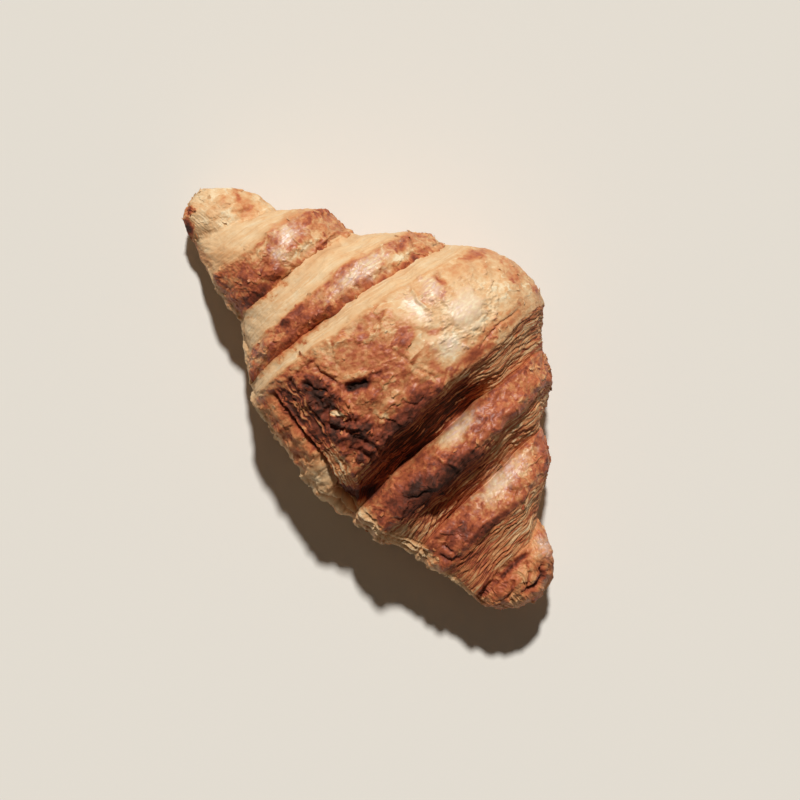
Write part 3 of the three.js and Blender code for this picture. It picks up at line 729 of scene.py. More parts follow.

# Places that are paler or browner than the rest: centre, reach, bake and, where they are not 0.8 and 0, how
# strongly and at what turn. A later one lies over an earlier one. The pale ones on the sheen spots are
# partly a paler egg wash and partly painted highlight.
TINTS = [
    # left tip and the face above it
    (-71.4, -6.6, 2.8, 0.9, RED, 0.8, -12), (-66.6, -8.6, 0.8, 2.6, BROWN, 0.7, 38),
    (-77.6, -20.4, 1.7, 1.3, DARK, 0.9, 40), (-73.8, -24.3, 3.2, 1.4, BURNT, 1, -30),
    (-68.5, -26.6, 3, 1, RED, 0.8, -20), (-60.4, -22.6, 4, 4.5, TAN, 0.6),
    (-64, -27, 5, 1.4, BROWN, 0.6, -10), (-67.6, -6.6, 3.8, 3.2, 0.46),
    # first wrap on the left and the faces beside it
    (-56.2, -0.6, 1.8, 4.5, BROWN, 0.7), (-49.6, 7.4, 6, 3.4, 0.46, 0.7), (-51, 8.6, 1.6, 1.2, RED, 0.7),
    (-46.4, -2.4, 2, 6.2, GOLD, 0.9), (-53, -2.8, 2.8, 3.4, TAN), (-49.6, -8.2, 3.4, 2, GOLD, 0.8, 20),
    (-54.6, -11, 1.8, 7, BROWN, 0.6), (-47.6, -12.6, 3.4, 3.2, 0.68, 1),
    (-45.2, -22.4, 2.2, 6, 0.88, 1, -8), (-49.6, -20, 3, 4, RED, 0.7),
    (-51, -27, 5.5, 1.8, 0.44), (-50.9, -20.6, 5, 5, 0.66, 0.6), (-67.6, -7.6, 3.4, 2.4, 0.40, 0.5),
    (-41.5, 13, 3, 2.4, GOLD), (-42, 5, 1.7, 9, GOLD, 0.85),
    (-22.6, 30, 3, 4, PALE + 0.04, 0.85, 20),
    # second wrap on the left
    (-28.2, 28.4, 3.8, 3, 0.44, 0.8, 30), (-25.8, 19.4, 1.6, 4.2, PALE, 0.9, -10),
    (-30, 18.2, 1.4, 4.6, RED, 0.9, -20), (-30.6, 7, 2.3, 9, TAN, 0.9, -6),
    (-27, 5.2, 1.2, 4.2, 0.60, 1), (-33.8, 4.2, 1.2, 4.8, RED), (-30.6, -6, 3, 2.8, TAN, 0.7),
    (-30.6, -15.4, 3.6, 5.2, 0.60), (-28.6, -20, 3, 13, 0.70, 1), (-33.6, -14, 1.2, 2.6, DARK),
    (-31.4, -27.6, 2.4, 5, RED, 0.6), (-29.6, -34, 3, 2.4, 0.46),
    # centre, upper part
    (-12, 36.4, 1.7, 4.4, 0.60, 1, -18), (-0.6, 42, 4.4, 2.4, BROWN),
    (-1.2, 24.4, 7.4, 7.4, CREAM, 1, 20), (3.2, 34, 5.6, 3.4, PALE, 0.9),
    (-9, 30, 3.4, 4.4, GOLD, 0.8, 20), (10.6, 32.4, 1.3, 5.6, 0.46, 0.9),
    (11, 17.6, 2.3, 7, 0.68, 1), (8.6, 24.6, 1.6, 3.6, RED, 0.9), (-12.2, 23.6, 3.4, 1.1, RED, 0.9, 10),
    (-9.2, 21, 0.9, 1.3, 0.68, 0.9), (-11.8, 19.4, 3.6, 2.6, GOLD, 0.9),
    (-12.4, 15.4, 4.6, 0.9, TAN, 0.8, -8), (-8.6, 11.6, 4.6, 3, PALE, 0.9),
    (-1.9, 12.6, 1.2, 2.4, RED, 1, -20), (4.6, 13.4, 4, 3.6, CREAM + 0.06, 0.9),
    (2, 7, 2, 2.4, BROWN), (6.6, 6, 2.4, 1.8, 0.56, 0.9), (-5.6, 4.2, 6, 3.4, BROWN),
    (-17.6, 3.2, 1.1, 2.4, BROWN, 0.9), (3.8, 1, 4.2, 1.6, GOLD, 0.9),
    # centre, lower part
    (-15.4, -8, 2.6, 18, 0.40, 0.5), (-13.2, -8, 4.2, 4.2, 0.54), (9, -3, 3.4, 4, 0.66, 1),
    (-17.6, -14, 2.4, 4.6, 0.34), (-11.8, -20, 4.2, 2.4, 0.42), (-1.2, -11, 3, 2.6, BROWN),
    (5, -12.6, 2, 3.4, TAN, 0.9, 10), (12.6, -12.6, 1.8, 8.4, BURNT, 1),
    (-1.2, -22.2, 4.6, 2.2, TAN, 0.9), (-9.4, -26.6, 6.6, 3.4, 0.92, 1), (7.6, -26, 6.4, 5, 0.86, 1),
    (-14, -25.6, 4, 2.6, DARK), (-19.4, -3, 1.3, 12, 0.33, 0.7), (3, -30.6, 5, 1.8, 0.86, 0.9),
    (8, -29, 2.4, 1.8, 0.56, 0.9), (-5, -32, 5, 1.6, 0.86, 0.9),
    (11.3, -10, 2.4, 14, 0.90, 0.88), (5.7, -8, 4.6, 7, 0.57, 0.5), (-5.6, -27, 8.5, 3.4, 0.90),
    (8, -24.6, 4.8, 6.4, 0.88), (11.9, -14, 2.1, 8.5, 0.90), (-8.2, -24.4, 1.2, 0.8, 0.50, 0.8, 20),
    (4.2, -27.6, 0.9, 1.5, 0.52, 0.8, 30), (9.6, -22, 0.8, 1.4, 0.54, 0.7),
    # first wrap on the right
    (26.2, 28.4, 4.4, 3.6, 0.48), (29.6, 20.4, 3.6, 3, 0.56), (24.8, 16.4, 2.2, 2.4, 0.44),
    (27.6, 11.6, 4.8, 4.4, RED), (25, -0.2, 2.4, 7.4, GOLD, 1), (32.2, 2.4, 2.2, 3.6, BROWN),
    (24.8, -6.4, 2.6, 2.2, PALE), (31.6, -3.4, 1.6, 2.4, DARK, 0.9), (26.4, -12.6, 3, 3.4, 0.60, 0.9),
    (30.6, -17, 3, 2.8, 0.72, 0.9), (29.2, -23, 3.2, 3.6, 0.88, 1), (26, -21.6, 1.6, 4, 0.58),
    (27.2, -29.2, 2.2, 2.2, BROWN), (28.6, -34.2, 1.8, 1.6, RED, 0.9), (29, -39, 6, 1.8, GOLD, 0.9),
    (34.2, -15, 1.9, 15, 0.97, 0.95), (26.4, -23, 2.2, 9, 0.62, 0.7), (31.4, -24, 2.2, 6, 0.93),
    # second wrap on the right
    (45.8, 13.2, 4.2, 3, BROWN), (49, 5.6, 3.2, 3.6, 0.54, 0.9),
    (44.6, -0.4, 2.8, 8.8, PALE + 0.04, 1, 5), (50.4, -0.2, 2.2, 2.4, BROWN, 0.9),
    (48.4, -8.2, 2.6, 2, GOLD, 0.7), (48.8, -17, 3.8, 4.4, 0.62, 0.9), (53.4, -14, 1.2, 7.4, 0.86, 1),
    (49.6, -23, 2.6, 2.4, BROWN, 0.9), (50.4, -29, 3.6, 1.5, DARK, 0.9),
    (48.8, -32.8, 4.6, 1.4, GOLD, 0.9), (49.2, -23, 4.4, 8, 0.76, 0.7), (48, 10, 5, 5, 0.56, 0.5),
    (46.8, 11, 5.4, 7, 0.60), (27.5, 12, 6, 9, 0.66, 0.5), (26, 22, 5.5, 9, 0.60, 0.5),
    (32.2, -12, 2.8, 7, 0.93, 0.9), (31.2, -22.4, 4.6, 8.6, 0.93, 0.95), (30.4, -30.6, 3.2, 3.2, 0.82),
    (26, -24, 2.6, 10, 0.66),
    # faces and tip on the right
    (60, -24.5, 6.5, 6, 0.78, 0.85), (70.5, -23.5, 4, 3, 0.62, 0.6),
    (17.6, 28, 3.4, 10, 0.34, 0.5), (21.8, 17.6, 0.8, 6, GOLD, 0.9, 3),
    # The pale tint at (39.6, -34.4), on the inner end of the second face on the right, is painted light.
    (23.6, 18.6, 0.5, 4.4, DARK, 0.9, 3), (39.6, -34.4, 4.4, 3, 0.24, 0.9),
    (57.8, -18.6, 2.4, 3.6, RED, 0.7), (61, -26.4, 4, 2.4, 0.44, 0.7),
    (68.4, -5, 3.8, 3.4, TAN, 0.9, -20), (71.4, -5.4, 2.2, 1.6, BROWN), (67.4, -16, 1.1, 4.8, DARK, 0.9),
    (75.9, -11.4, 1.1, 4.6, DARK, 0.9, 10), (73, -14.2, 1.8, 2.8, 0.46), (78.4, -13, 1.2, 4, TAN),
    (67.4, -26.6, 1.5, 2.4, DARK, 0.9), (70.6, -22.4, 2.6, 2.4, 0.54, 0.7),
]
tint_wander = 0.05 * body_noise(3.0, 3.0, 222, 2)


def tint(cx, cy, rx, ry, level, strength=0.8, turn=0):
    return mix(bake, level + tint_wander, strength * spot(cx, cy, rx, ry, turn, 1.5))


for row in TINTS:
    bake = tint(*row)
broken = crust * (1.0 - 0.8 * cream_blister) * (1.0 - 0.65 * rise(bake, 0.55, 0.22))
bake += broken * np.where(large > 0, 0.30 * (large_tone - 0.5), 0.0)
bake += broken * np.where(small > 0, 0.24 * (small_tone - 0.5), 0.0)
# The flakes' free edges are paler: partly their own pale inner dough, partly painted light where the thin
# edges catch the sun.
bake -= broken * (0.22 * large_edge + 0.16 * small_edge)
bake += broken * 0.10 * body_noise(1.6, 1.8, 223, 2)
bake += 0.10 * np.clip(above_wide, -1, 1) * crust
bake += 0.25 * burnt_area * (0.8 - crumple)
bake += 0.9 * tear + 0.2 * tear_tail

# The lip's layers: dark to the left, pale at the tongue. The layer under it comes paler under the tongue:
# its own pale dough, with painted light standing in for the sun on its ledge.
layer_light = rise(layer_ridge, 0.02, 0.4)
lip_bake = mix(mix(0.90, 0.40, layer_light), mix(0.46, 0.08, layer_light), tongue_side)
bake = mix(bake, lip_bake, layered)
under_bake = 0.50 + 0.13 * plan_noise(4.5, 2.6, 207, 2) - 0.32 * tongue_side
bake = mix(bake, under_bake, under_lip)
# Painted shadow: darker just under the lip.
bake += 0.55 * under_lip * hump(below_bottom, 1.2)
# Painted shade in the creases, painted light on the ridges.
for mark_line, depth in creases:
    bake += 0.22 * depth * mark_line
# Painted shade in the hollow round the tongue's end.
bake = mix(bake, 0.93, 0.9 * smooth(1.6 * end_hollow))
white_fleck = spot(-1.8, -26.2, 2.2, 1.1, 35, 3.0)
bake = mix(bake, 0.03, 0.95 * white_fleck)
# The steep, low sides show their layers, and the belly is evenly brown.
low_side = fall(z, 15.0, 10.0)
low_side = np.maximum(low_side, 0.8 * fall(normals[:, :, 2], 0.12, 0.35))
side_layers = ripple(z / 1.3 + 0.8 * plan_noise(9.0, 9.0, 225, 2), (x + y) / 14.0, 226)
# Under the tongue the low side is painted paler: the pale bottom layer, with painted light standing in for
# the sun on its ledge.
under_tongue = tongue_side * fall(x, 26.0, 3.0) * (y < 0)
side_bake = mix(0.33, 0.12, under_tongue)
bake = mix(bake, side_bake + 0.16 * side_layers + 0.06 * body_noise(6, 4, 208, 2), 0.85 * low_side)
bake = mix(bake, 0.40 - 0.30 * edge_bench + 0.07 * plan_noise(2.5, 2.5, 189, 2), 0.85 * pale_edge)
belly = fall(z, 2.0, 2.0)
bake = mix(bake, 0.58 + 0.06 * plan_noise(6, 6, 209), belly)
# The painted shade in hollows is lighter on pale dough and on the pale top, and mostly gone where the light
# reaches the right faces.
hollow_shade *= mix(smooth(bake / 0.45), 1.0, 0.35) * (1.0 - 0.5 * pale_top) * (1.0 - 0.8 * right_face * lit_end)
crackle = body_noise(1.1, 1.3, 227, 2, 0.7)
# Painted highlight: paler and darker streaks and flecks on the sheen spots, where the glossy crust catches
# the light.
bake += (0.12 * sheen + 0.26 * sheen_patch + 0.24 * sheen_ridge) * sheen_lines + 0.12 * sheen * crackle

# Egg wash: gloss on what is brown but not burnt, and most of all on the sheen spots.
gloss = crust * rise(bake, 0.10, 0.3) * (0.34 + 0.22 * body_noise(6, 8, 211, 2))
gloss = np.clip(gloss + 0.75 * sheen, 0, 1) * fall(bake, 0.90, 0.30)
gloss *= rise(z, 12.0, 10.0) * (1.0 - 0.7 * burnt_area) * (1.0 - in_lip * smooth(below_top / 0.9))


# ---- Meshes ----
def make_piece(name, co, loops, counts, values, uv):
    """An object from points in mm, its faces' corners and sizes, values at points and UVs at corners."""
    mesh = bpy.data.meshes.new(name)
    mesh.vertices.add(len(co))
    mesh.vertices.foreach_set("co", (co * MM).astype(np.float32).ravel())
    mesh.loops.add(len(loops))
    mesh.loops.foreach_set("vertex_index", loops.astype(np.int32))
    mesh.polygons.add(len(counts))
    starts = np.concatenate([[0], np.cumsum(counts)[:-1]])
    mesh.polygons.foreach_set("loop_start", starts.astype(np.int32))
    mesh.polygons.foreach_set("loop_total", counts.astype(np.int32))
    mesh.update(calc_edges=True)
    mesh.validate()
    mesh.polygons.foreach_set("use_smooth", np.ones(len(counts), bool))
    for key, flat in values.items():
        single = flat.shape[1] == 1
        layer = mesh.attributes.new(key, "FLOAT" if single else "FLOAT_VECTOR", "POINT")
        layer.data.foreach_set("value" if single else "vector", flat.astype(np.float32).ravel())
    layer = mesh.uv_layers.new(name="OFBake")
    layer.data.foreach_set("uv", uv.astype(np.float32).ravel())
    thing = bpy.data.objects.new(name, mesh)
    bpy.context.scene.collection.objects.link(thing)
    return thing


def closed_tube(name, points, ends, values, u, v):
    """A quad mesh over rings of points in mm, closed at both ends by fans to the end points."""
    rows, columns = points.shape[:2]
    i, j = np.meshgrid(np.arange(rows - 1), np.arange(columns), indexing="ij")
    corner_v = np.append(v, 1.0)
    corners = ((0, 0), (1, 0), (1, 1), (0, 1))
    quads = np.stack([(i + down) * columns + (j + over) % columns for down, over in corners], axis=2)
    uv_quads = np.stack([np.stack([u[i + down], corner_v[j + over]], 2) for down, over in corners], axis=2)
    first, last = rows * columns, (rows - 1) * columns
    ring = np.arange(columns)
    after = (ring + 1) % columns
    fans = np.concatenate([
        np.stack([np.full(columns, first), ring, after], 1),
        np.stack([np.full(columns, first + 1), last + after, last + ring], 1),
    ])
    v_here, v_after = corner_v[:-1], corner_v[1:]
    v_middle = (v_here + v_after) / 2

    def fan_uv(u_end, u_ring, v_second, v_third):
        corners = ((u_end, v_middle), (u_ring, v_second), (u_ring, v_third))
        return np.stack([np.stack([np.full(columns, cu), cv], 1) for cu, cv in corners], 1).reshape(-1, 2)

    point_values = {}
    for key, field in values.items():
        flat = field.reshape(rows * columns, -1)
        point_values[key] = np.vstack([flat, flat[:columns].mean(0), flat[-columns:].mean(0)])
    co = np.vstack([points.reshape(-1, 3), ends])
    loops = np.concatenate([quads.ravel(), fans.ravel()])
    counts = np.concatenate([np.full((rows - 1) * columns, 4), np.full(len(fans), 3)])
    uv = np.concatenate([
        uv_quads.reshape(-1, 2), fan_uv(0.0, u[0], v_here, v_after), fan_uv(1.0, u[-1], v_after, v_here),
    ])
    return make_piece(name, co, loops, counts, point_values, uv)


# The UV map is the body unrolled: the ends' fans take a strip at each side, the belly the last share.
FAN_STRIP, TOP_SHARE = 0.01, 0.86
u_rows = FAN_STRIP + (1.0 - 2.0 * FAN_STRIP) * row_index / (row_count - 1)
v_columns = np.concatenate([
    TOP_SHARE * np.arange(TOP_COLUMNS) / TOP_COLUMNS,
    TOP_SHARE + (1.0 - TOP_SHARE) * np.arange(BELLY_COLUMNS) / BELLY_COLUMNS,
])
strand = np.clip(right_face + 0.12 * left_face, 0, 1) * rise(z, 3.0, 6.0)
strand *= (1.0 - 0.7 * pale_edge) * (1.0 - layered) * (1.0 - under_lip)
# Painted sheen: on the sheen spots the colour is pulled towards a pale pink in streaks and flecks, partly a
# paler dried egg wash and partly painted highlight.
glaze_and_sheen = sheen * gloss * np.clip(0.8 + 1.1 * sheen_lines + 0.9 * crackle, 0.0, 2.2)
flaky = crust * (1.0 - 0.9 * cream_blister) * (1.0 - 0.65 * pale_top)
# Where the fine strands' noise is read: the last number sets each face apart from the others.
flow = np.stack([block_s, q, np.broadcast_to(40.0 * block_start[:, None], q.shape)], axis=2)
crust_values = {
    "bake": bake, "gloss": gloss, "hollow_shade": hollow_shade, "glaze_and_sheen": glaze_and_sheen,
    "strand": strand, "flaky": flaky, "flow": flow,
}
crust_piece = closed_tube(
    "crust", points, np.array([LEFT_TIP_END, RIGHT_TIP_END]), crust_values, u_rows, v_columns,
)

# Thin curled chips that lift off the crust, each a closed shell, sunk into it along one edge.
CHIP_STEPS = 7
CHIP_THICKNESS = 0.22
CHIP_SINK = 0.16
CHIP_PALER = 0.10
CHIPS_PER_SIDE = 20
row_step = np.linalg.norm(np.gradient(points, axis=0), axis=2)
column_step = np.linalg.norm(np.gradient(points, axis=1), axis=2)
chip_points, chip_bakes, chip_gloss = [], [], []


def read_between(field, row, column):
    """A field over the rings' upper half, read between its points."""
    row = np.clip(row, 0.0, row_count - 1.001)
    column = np.clip(column, 0.0, TOP_COLUMNS - 1.001)
    i, j = row.astype(int), column.astype(int)
    part_row, part_column = (row - i)[..., None], (column - j)[..., None]
    low = mix(field[i, j], field[i, j + 1], part_column)
    high = mix(field[i + 1, j], field[i + 1, j + 1], part_column)
    return mix(low, high, part_row)


def lay_chips(count, seed, where, length, width, lift, tone, toward=None):
    """Strews chips where the mask is set. toward is the way they lift, in radians, or any way at all."""
    draw = np.random.default_rng(seed)
    rows, columns = np.nonzero(where[:, :TOP_COLUMNS])
    along = np.linspace(0.0, 1.0, CHIP_STEPS)[:, None]
    side = np.linspace(-1.0, 1.0, CHIP_STEPS)[None, :]
    for _ in range(count):
        pick = draw.integers(len(rows))
        row, column = rows[pick], columns[pick]
        if toward is None:
            way = draw.uniform(0.0, 2.0 * math.pi)
        else:
            way = toward(row) + draw.normal(0.0, 0.6)
        long, wide, high = draw.uniform(*length), draw.uniform(*width), draw.uniform(*lift)
        jagged = 1.0 + draw.uniform(-0.25, 0.25, (CHIP_STEPS, 1))
        outline = np.sqrt(1.0 - 0.8 * (2.0 * along - 0.9) ** 2 / 1.25) * jagged
        reach = along * long * (1.0 + draw.uniform(-0.2, 0.2, (1, CHIP_STEPS)))
        across = side * outline * wide / 2.0
        ds = reach * math.cos(way) - across * math.sin(way)
        dq = reach * math.sin(way) + across * math.cos(way)
        at_row = row + ds / max(row_step[row, column], 0.15)
        at_column = column + dq / max(column_step[row, column], 0.10)
        surface = read_between(points, at_row, at_column)
        normal = read_between(normals, at_row, at_column)
        normal /= np.linalg.norm(normal, axis=2, keepdims=True)
        root, root_normal = surface[:1], normal[:1]
        level_way = surface[2:3] - root
        level_way /= np.linalg.norm(level_way, axis=2, keepdims=True) + 1e-9
        straight = root + level_way * reach[:, :, None]
        overhang = np.maximum(((straight - surface) * root_normal).sum(2), 0.0)
        height = (CHIP_SINK + high) * along ** 1.4 - CHIP_SINK
        height = height + 0.5 * overhang + 0.25 * high * side ** 2 * along
        middle = surface + normal * height[:, :, None]
        half = 0.5 * CHIP_THICKNESS * (1.0 - 0.5 * along) * (1.0 - 0.4 * side ** 2)
        top = middle + normal * half[:, :, None]
        under = middle - normal * half[:, :, None]
        chip_points.append(np.stack([top, under]))
        chip_bake = bake[row, column] + draw.uniform(*tone) - CHIP_PALER * along ** 2
        chip_bakes.append(np.broadcast_to(np.clip(chip_bake, 0.0, 1.0), reach.shape))
        chip_gloss.append(gloss[row, column])


def toward_step(row):
    return 0.0 if row > row_count // 2 else math.pi


on_top = z > 12.0
near_rim = ((kinds == FACE) & (places > 0.93)) | ((kinds == PLATEAU) & (places > 0.95))
at_rim = near_rim[:, None] & on_top
plain_crust = (crust > 0.7) & on_top & (cream_blister < 0.2) & (sheen < 0.5)
# Each strewing: how many, seed, where, length, width, lift and tone.
lay_chips(24, 401, at_rim & (x > -16.0), (0.6, 1.4), (0.8, 3.0), (0.06, 0.25), (0.0, 0.14), toward_step)
lay_chips(12, 406, at_rim & (x < -16.0), (0.8, 1.8), (0.8, 2.4), (0.12, 0.35), (-0.10, 0.02), toward_step)
lay_chips(110, 402, plain_crust, (0.7, 2.0), (0.6, 1.6), (0.10, 0.35), (-0.14, 0.04))
lay_chips(26, 403, (burnt_area > 0.4) & on_top, (0.9, 2.4), (0.4, 1.0), (0.2, 0.7), (-0.28, 0.05))
lay_chips(26, 404, pale_edge > 0.6, (0.8, 2.0), (0.4, 1.0), (0.10, 0.35), (-0.10, 0.06))
lay_chips(24, 405, (left_tip > 0.5) & on_top, (1.0, 2.4), (0.5, 1.4), (0.12, 0.45), (-0.06, 0.14))


def chips_mesh():
    """All chips as one mesh. Each has its own square of the UV map, its two sides next to each other."""
    shells = np.array(chip_points)
    count, size = len(shells), CHIP_STEPS
    index = np.arange(size * size).reshape(size, size)
    corners = (index[:-1, :-1], index[1:, :-1], index[1:, 1:], index[:-1, 1:])
    top_quads = np.stack([corner.ravel() for corner in corners], 1)
    under_quads = top_quads[:, [0, 3, 2, 1]] + size * size
    edge = np.concatenate([index[0, :-1], index[:-1, -1], index[-1, :0:-1], index[:0:-1, 0]])
    next_edge = np.roll(edge, -1)
    side_quads = np.stack([edge, next_edge, next_edge + size * size, edge + size * size], 1)
    quads = np.concatenate([top_quads, under_quads, side_quads])
    u = np.repeat(np.linspace(0.04, 0.46, size), size)
    v = np.tile(np.linspace(0.06, 0.94, size), size)
    point_uv = np.stack([np.concatenate([u, u + 0.5]), np.concatenate([v, v])], 1)
    corner_uv = point_uv[quads]
    sides = corner_uv[-len(side_quads):]
    sides[:, 2:] = sides[:, 1::-1]
    cell = np.stack([np.arange(count) % CHIPS_PER_SIDE, np.arange(count) // CHIPS_PER_SIDE], 1)
    uv = (corner_uv[None] + cell[:, None, None, :]) / CHIPS_PER_SIDE
    loops = quads[None] + (np.arange(count) * 2 * size * size)[:, None, None]
    tones = np.stack([np.array(chip_bakes)] * 2, 1).reshape(-1, 1)
    shine = np.repeat(np.array(chip_gloss), 2 * size * size)[:, None]
    return make_piece(
        "flakes", shells.reshape(-1, 3), loops.ravel(), np.full(count * len(quads), 4),
        {"bake": tones, "gloss": shine}, uv.reshape(-1, 2),
    )


flakes_piece = chips_mesh()


# ---- Materials ----
STRAND_WIDTH, STRAND_LENGTH = 0.45, 8.0
SHADE_COLOUR = (0.42, 0.31, 0.24)
# The pale pink that the painted sheen, over a paler egg wash, pulls the colour towards.
GLAZE_AND_SHEEN_COLOUR = (0.76, 0.62, 0.54)
# The colour at each step of the bake, in linear values.
BAKE_COLOURS = [
    (0.00, (0.81, 0.67, 0.45)), (0.15, (0.74, 0.50, 0.275)), (0.30, (0.67, 0.37, 0.170)),
    (0.45, (0.58, 0.225, 0.084)), (0.60, (0.44, 0.110, 0.039)), (0.75, (0.25, 0.052, 0.023)),
    (0.88, (0.120, 0.030, 0.014)), (1.00, (0.040, 0.013, 0.007)),
]


def crust_material():
    material = bpy.data.materials.new("crust")
    material.use_nodes = True
    tree = material.node_tree
    nodes, links = tree.nodes, tree.links
    shader = nodes["Principled BSDF"]

    def attribute(name):
        node = nodes.new("ShaderNodeAttribute")
        node.attribute_name = name
        return node.outputs["Fac"]

    def math_node(operation, a, b, clamp=False):
        node = nodes.new("ShaderNodeMath")
        node.operation = operation
        node.use_clamp = clamp
        for socket, value in zip(node.inputs, (a, b)):
            if isinstance(value, (int, float)):
                socket.default_value = value
            else:
                links.new(value, socket)
        return node.outputs[0]

    def times(a, b, clamp=False):
        return math_node("MULTIPLY", a, b, clamp)

    def plus(a, b, clamp=False):
        return math_node("ADD", a, b, clamp)

    def minus(a, b):
        return math_node("SUBTRACT", a, b)

    def blended(blend_type, share, colour, other):
        """A colour socket blended with a fixed colour."""
        node = nodes.new("ShaderNodeMix")
        node.data_type = "RGBA"
        node.blend_type = blend_type
        links.new(share, node.inputs["Factor"])
        links.new(colour, node.inputs["A"])
        node.inputs["B"].default_value = (*other, 1.0)
        return node.outputs["Result"]

    place_in = nodes.new("ShaderNodeTexCoord").outputs["Object"]

    def noise(scale, detail=4.0, roughness=0.6, distortion=0.0, at=place_in):
        """Scales are per metre, as the object's own coordinates are in metres."""
        node = nodes.new("ShaderNodeTexNoise")
        node.inputs["Scale"].default_value = scale
        node.inputs["Detail"].default_value = detail
        node.inputs["Roughness"].default_value = roughness
        node.inputs["Distortion"].default_value = distortion
        links.new(at, node.inputs["Vector"])
        return node.outputs["Fac"]

    def patches(scale, distortion):
        """Noise with sharp borders, from -0.5 to 0.5."""
        node = nodes.new("ShaderNodeMapRange")
        node.interpolation_type = "SMOOTHSTEP"
        for name, value in (("From Min", 0.46), ("From Max", 0.54), ("To Min", -0.5), ("To Max", 0.5)):
            node.inputs[name].default_value = value
        links.new(noise(scale, distortion=distortion), node.inputs["Value"])
        return node.outputs["Result"]

    # Fine strands that run round the body on the cut faces.
    flow_in = nodes.new("ShaderNodeAttribute")
    flow_in.attribute_name = "flow"
    stretched = nodes.new("ShaderNodeVectorMath")
    stretched.operation = "MULTIPLY"
    stretched.inputs[1].default_value = (1.0 / STRAND_WIDTH, 1.0 / STRAND_LENGTH, 1.0)
    links.new(flow_in.outputs["Vector"], stretched.inputs[0])
    strands = noise(1.0, roughness=0.7, distortion=0.5, at=stretched.outputs["Vector"])
    strand_in = attribute("strand")

    flaky_in = attribute("flaky")

    def roughened(least, more):
        """A weight that grows with how broken the crust is."""
        return plus(times(flaky_in, more), least)

    mottle = times(minus(noise(scale=420.0, detail=5.0), 0.5), roughened(0.12, 0.05))
    speck = times(minus(noise(scale=1500.0, detail=3.0), 0.5), roughened(0.05, 0.11))
    strand_tone = times(times(minus(strands, 0.5), strand_in), 1.8)
    broad_flakes = times(patches(scale=240.0, distortion=0.9), 0.09)
    fine_flakes = times(patches(scale=700.0, distortion=0.6), 0.05)
    flake_tone = times(plus(broad_flakes, fine_flakes), flaky_in)
    level = plus(attribute("bake"), plus(mottle, speck))
    level = plus(level, plus(strand_tone, flake_tone), clamp=True)
    ramp = nodes.new("ShaderNodeValToRGB")
    ramp.color_ramp.interpolation = "LINEAR"
    stops = ramp.color_ramp.elements
    while len(stops) > 1:
        stops.remove(stops[-1])
    for k, (position, colour) in enumerate(BAKE_COLOURS):
        stop = stops[0] if k == 0 else stops.new(position)
        stop.position = position
        stop.color = (*colour, 1.0)
    links.new(level, ramp.inputs["Fac"])
    # Painted shade darkens the hollows and the gaps between strands; on the sheen spots the colour is paled
    # by a paler egg wash and painted highlight.
    strand_gap_shade = times(times(minus(0.48, strands), 7.0, clamp=True), strand_in)
    shade_share = plus(times(attribute("hollow_shade"), 0.45), times(strand_gap_shade, 0.42), clamp=True)
    shaded_colour = blended("MULTIPLY", shade_share, ramp.outputs["Color"], SHADE_COLOUR)
    glaze_and_sheen_colour = blended("MIX", times(attribute("glaze_and_sheen"), 0.42), shaded_colour, GLAZE_AND_SHEEN_COLOUR)
    links.new(glaze_and_sheen_colour, shader.inputs["Base Color"])

    gloss_in = attribute("gloss")
    rough = minus(0.74, times(gloss_in, 0.28))
    rough = plus(rough, times(minus(noise(scale=900.0, detail=2.0), 0.5), 0.25))
    links.new(rough, shader.inputs["Roughness"])
    links.new(times(gloss_in, 0.9), shader.inputs["Coat Weight"])
    shader.inputs["Coat Roughness"].default_value = 0.38
    shader.inputs["IOR"].default_value = 1.5
    shader.inputs["Specular IOR Level"].default_value = 0.3

    bump = nodes.new("ShaderNodeBump")
    bump.inputs["Strength"].default_value = 0.75
    bump.inputs["Distance"].default_value = 0.00045
    strand_height = times(times(strands, strand_in), 1.5)
    crumbs = times(noise(scale=1100.0, detail=5.0, roughness=0.7), roughened(0.45, 0.5))
    links.new(plus(crumbs, strand_height), bump.inputs["Height"])
    links.new(bump.outputs["Normal"], shader.inputs["Normal"])
    return material


crust_look = crust_material()
for piece in (crust_piece, flakes_piece):
    piece.data.materials.append(crust_look)
    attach(piece, "root")
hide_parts("croissant")

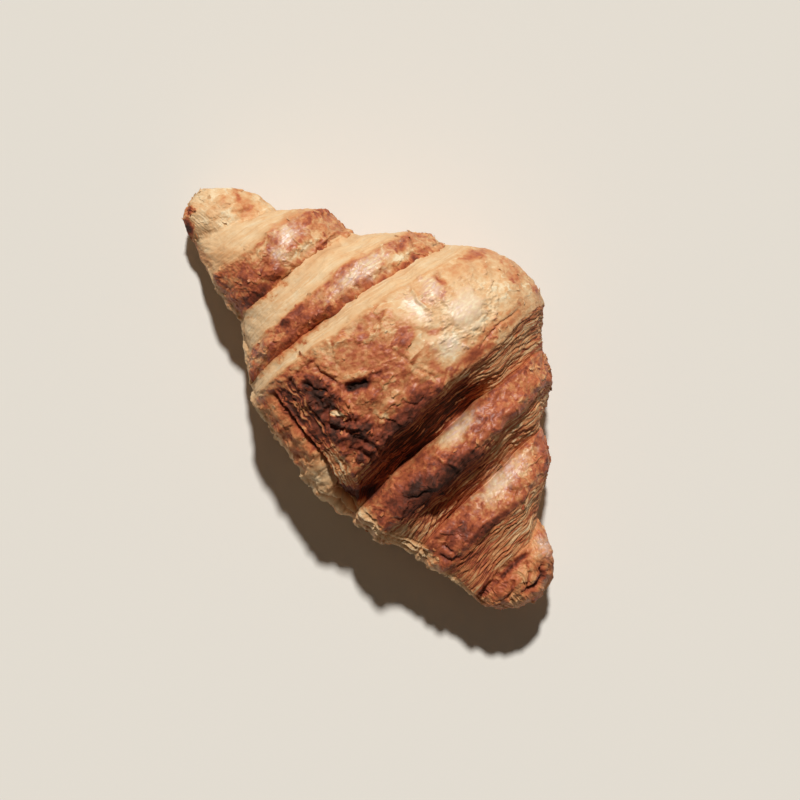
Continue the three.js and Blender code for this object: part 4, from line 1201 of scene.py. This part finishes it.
# ---- Floor, light and camera ----
FLOOR_COLOUR = (0.73, 0.705, 0.655, 1.0)
TO_LIGHT = Vector((-0.435, 0.392, 0.85)).normalized()
SUN_STRENGTH, SUN_COLOUR, SUN_ANGLE = 3.65, (1.0, 0.985, 0.955), math.radians(4.0)
SKY_STRENGTH, SKY_COLOUR = 0.085, (1.0, 0.80, 0.60, 1.0)
# How far the photograph's right is turned from +X.
CAMERA_TURN = math.radians(49.86)

bpy.ops.mesh.primitive_plane_add(size=3.0, location=(0, 0, 0))
floor = bpy.context.object
floor.name = "floor"
floor_material = bpy.data.materials.new("floor")
floor_material.use_nodes = True
floor_shader = floor_material.node_tree.nodes["Principled BSDF"]
floor_shader.inputs["Base Color"].default_value = FLOOR_COLOUR
floor_shader.inputs["Roughness"].default_value = 0.85
floor.data.materials.append(floor_material)

sun = bpy.data.objects.new("sun", bpy.data.lights.new("sun", "SUN"))
sun.data.energy = SUN_STRENGTH
sun.data.angle = SUN_ANGLE
sun.data.color = SUN_COLOUR
sun.rotation_mode = "QUATERNION"
sun.rotation_quaternion = TO_LIGHT.to_track_quat("Z", "Y")
bpy.context.scene.collection.objects.link(sun)

world = bpy.data.worlds.new("studio")
bpy.context.scene.world = world
world.use_nodes = True
sky = world.node_tree.nodes["Background"]
sky.inputs["Color"].default_value = SKY_COLOUR
sky.inputs["Strength"].default_value = SKY_STRENGTH

camera = bpy.data.objects.new("camera", bpy.data.cameras.new("camera"))
right = Vector((math.cos(CAMERA_TURN), math.sin(CAMERA_TURN), 0.0))
up = Vector((-math.sin(CAMERA_TURN), math.cos(CAMERA_TURN), 0.0))
turned = Matrix((right, up, Vector((0.0, 0.0, 1.0)))).transposed().to_4x4()
camera.matrix_world = Matrix.Translation(Vector((CAMERA_X, CAMERA_Y, CAMERA_HEIGHT)) * MM) @ turned
camera.data.sensor_width = 36.0
camera.data.angle = 2.0 * math.atan(FRAME_WIDTH / 2.0 / (CAMERA_HEIGHT - FOCUS_HEIGHT))
bpy.context.scene.collection.objects.link(camera)
bpy.context.scene.camera = camera
bpy.context.scene.view_settings.view_transform = "Standard"
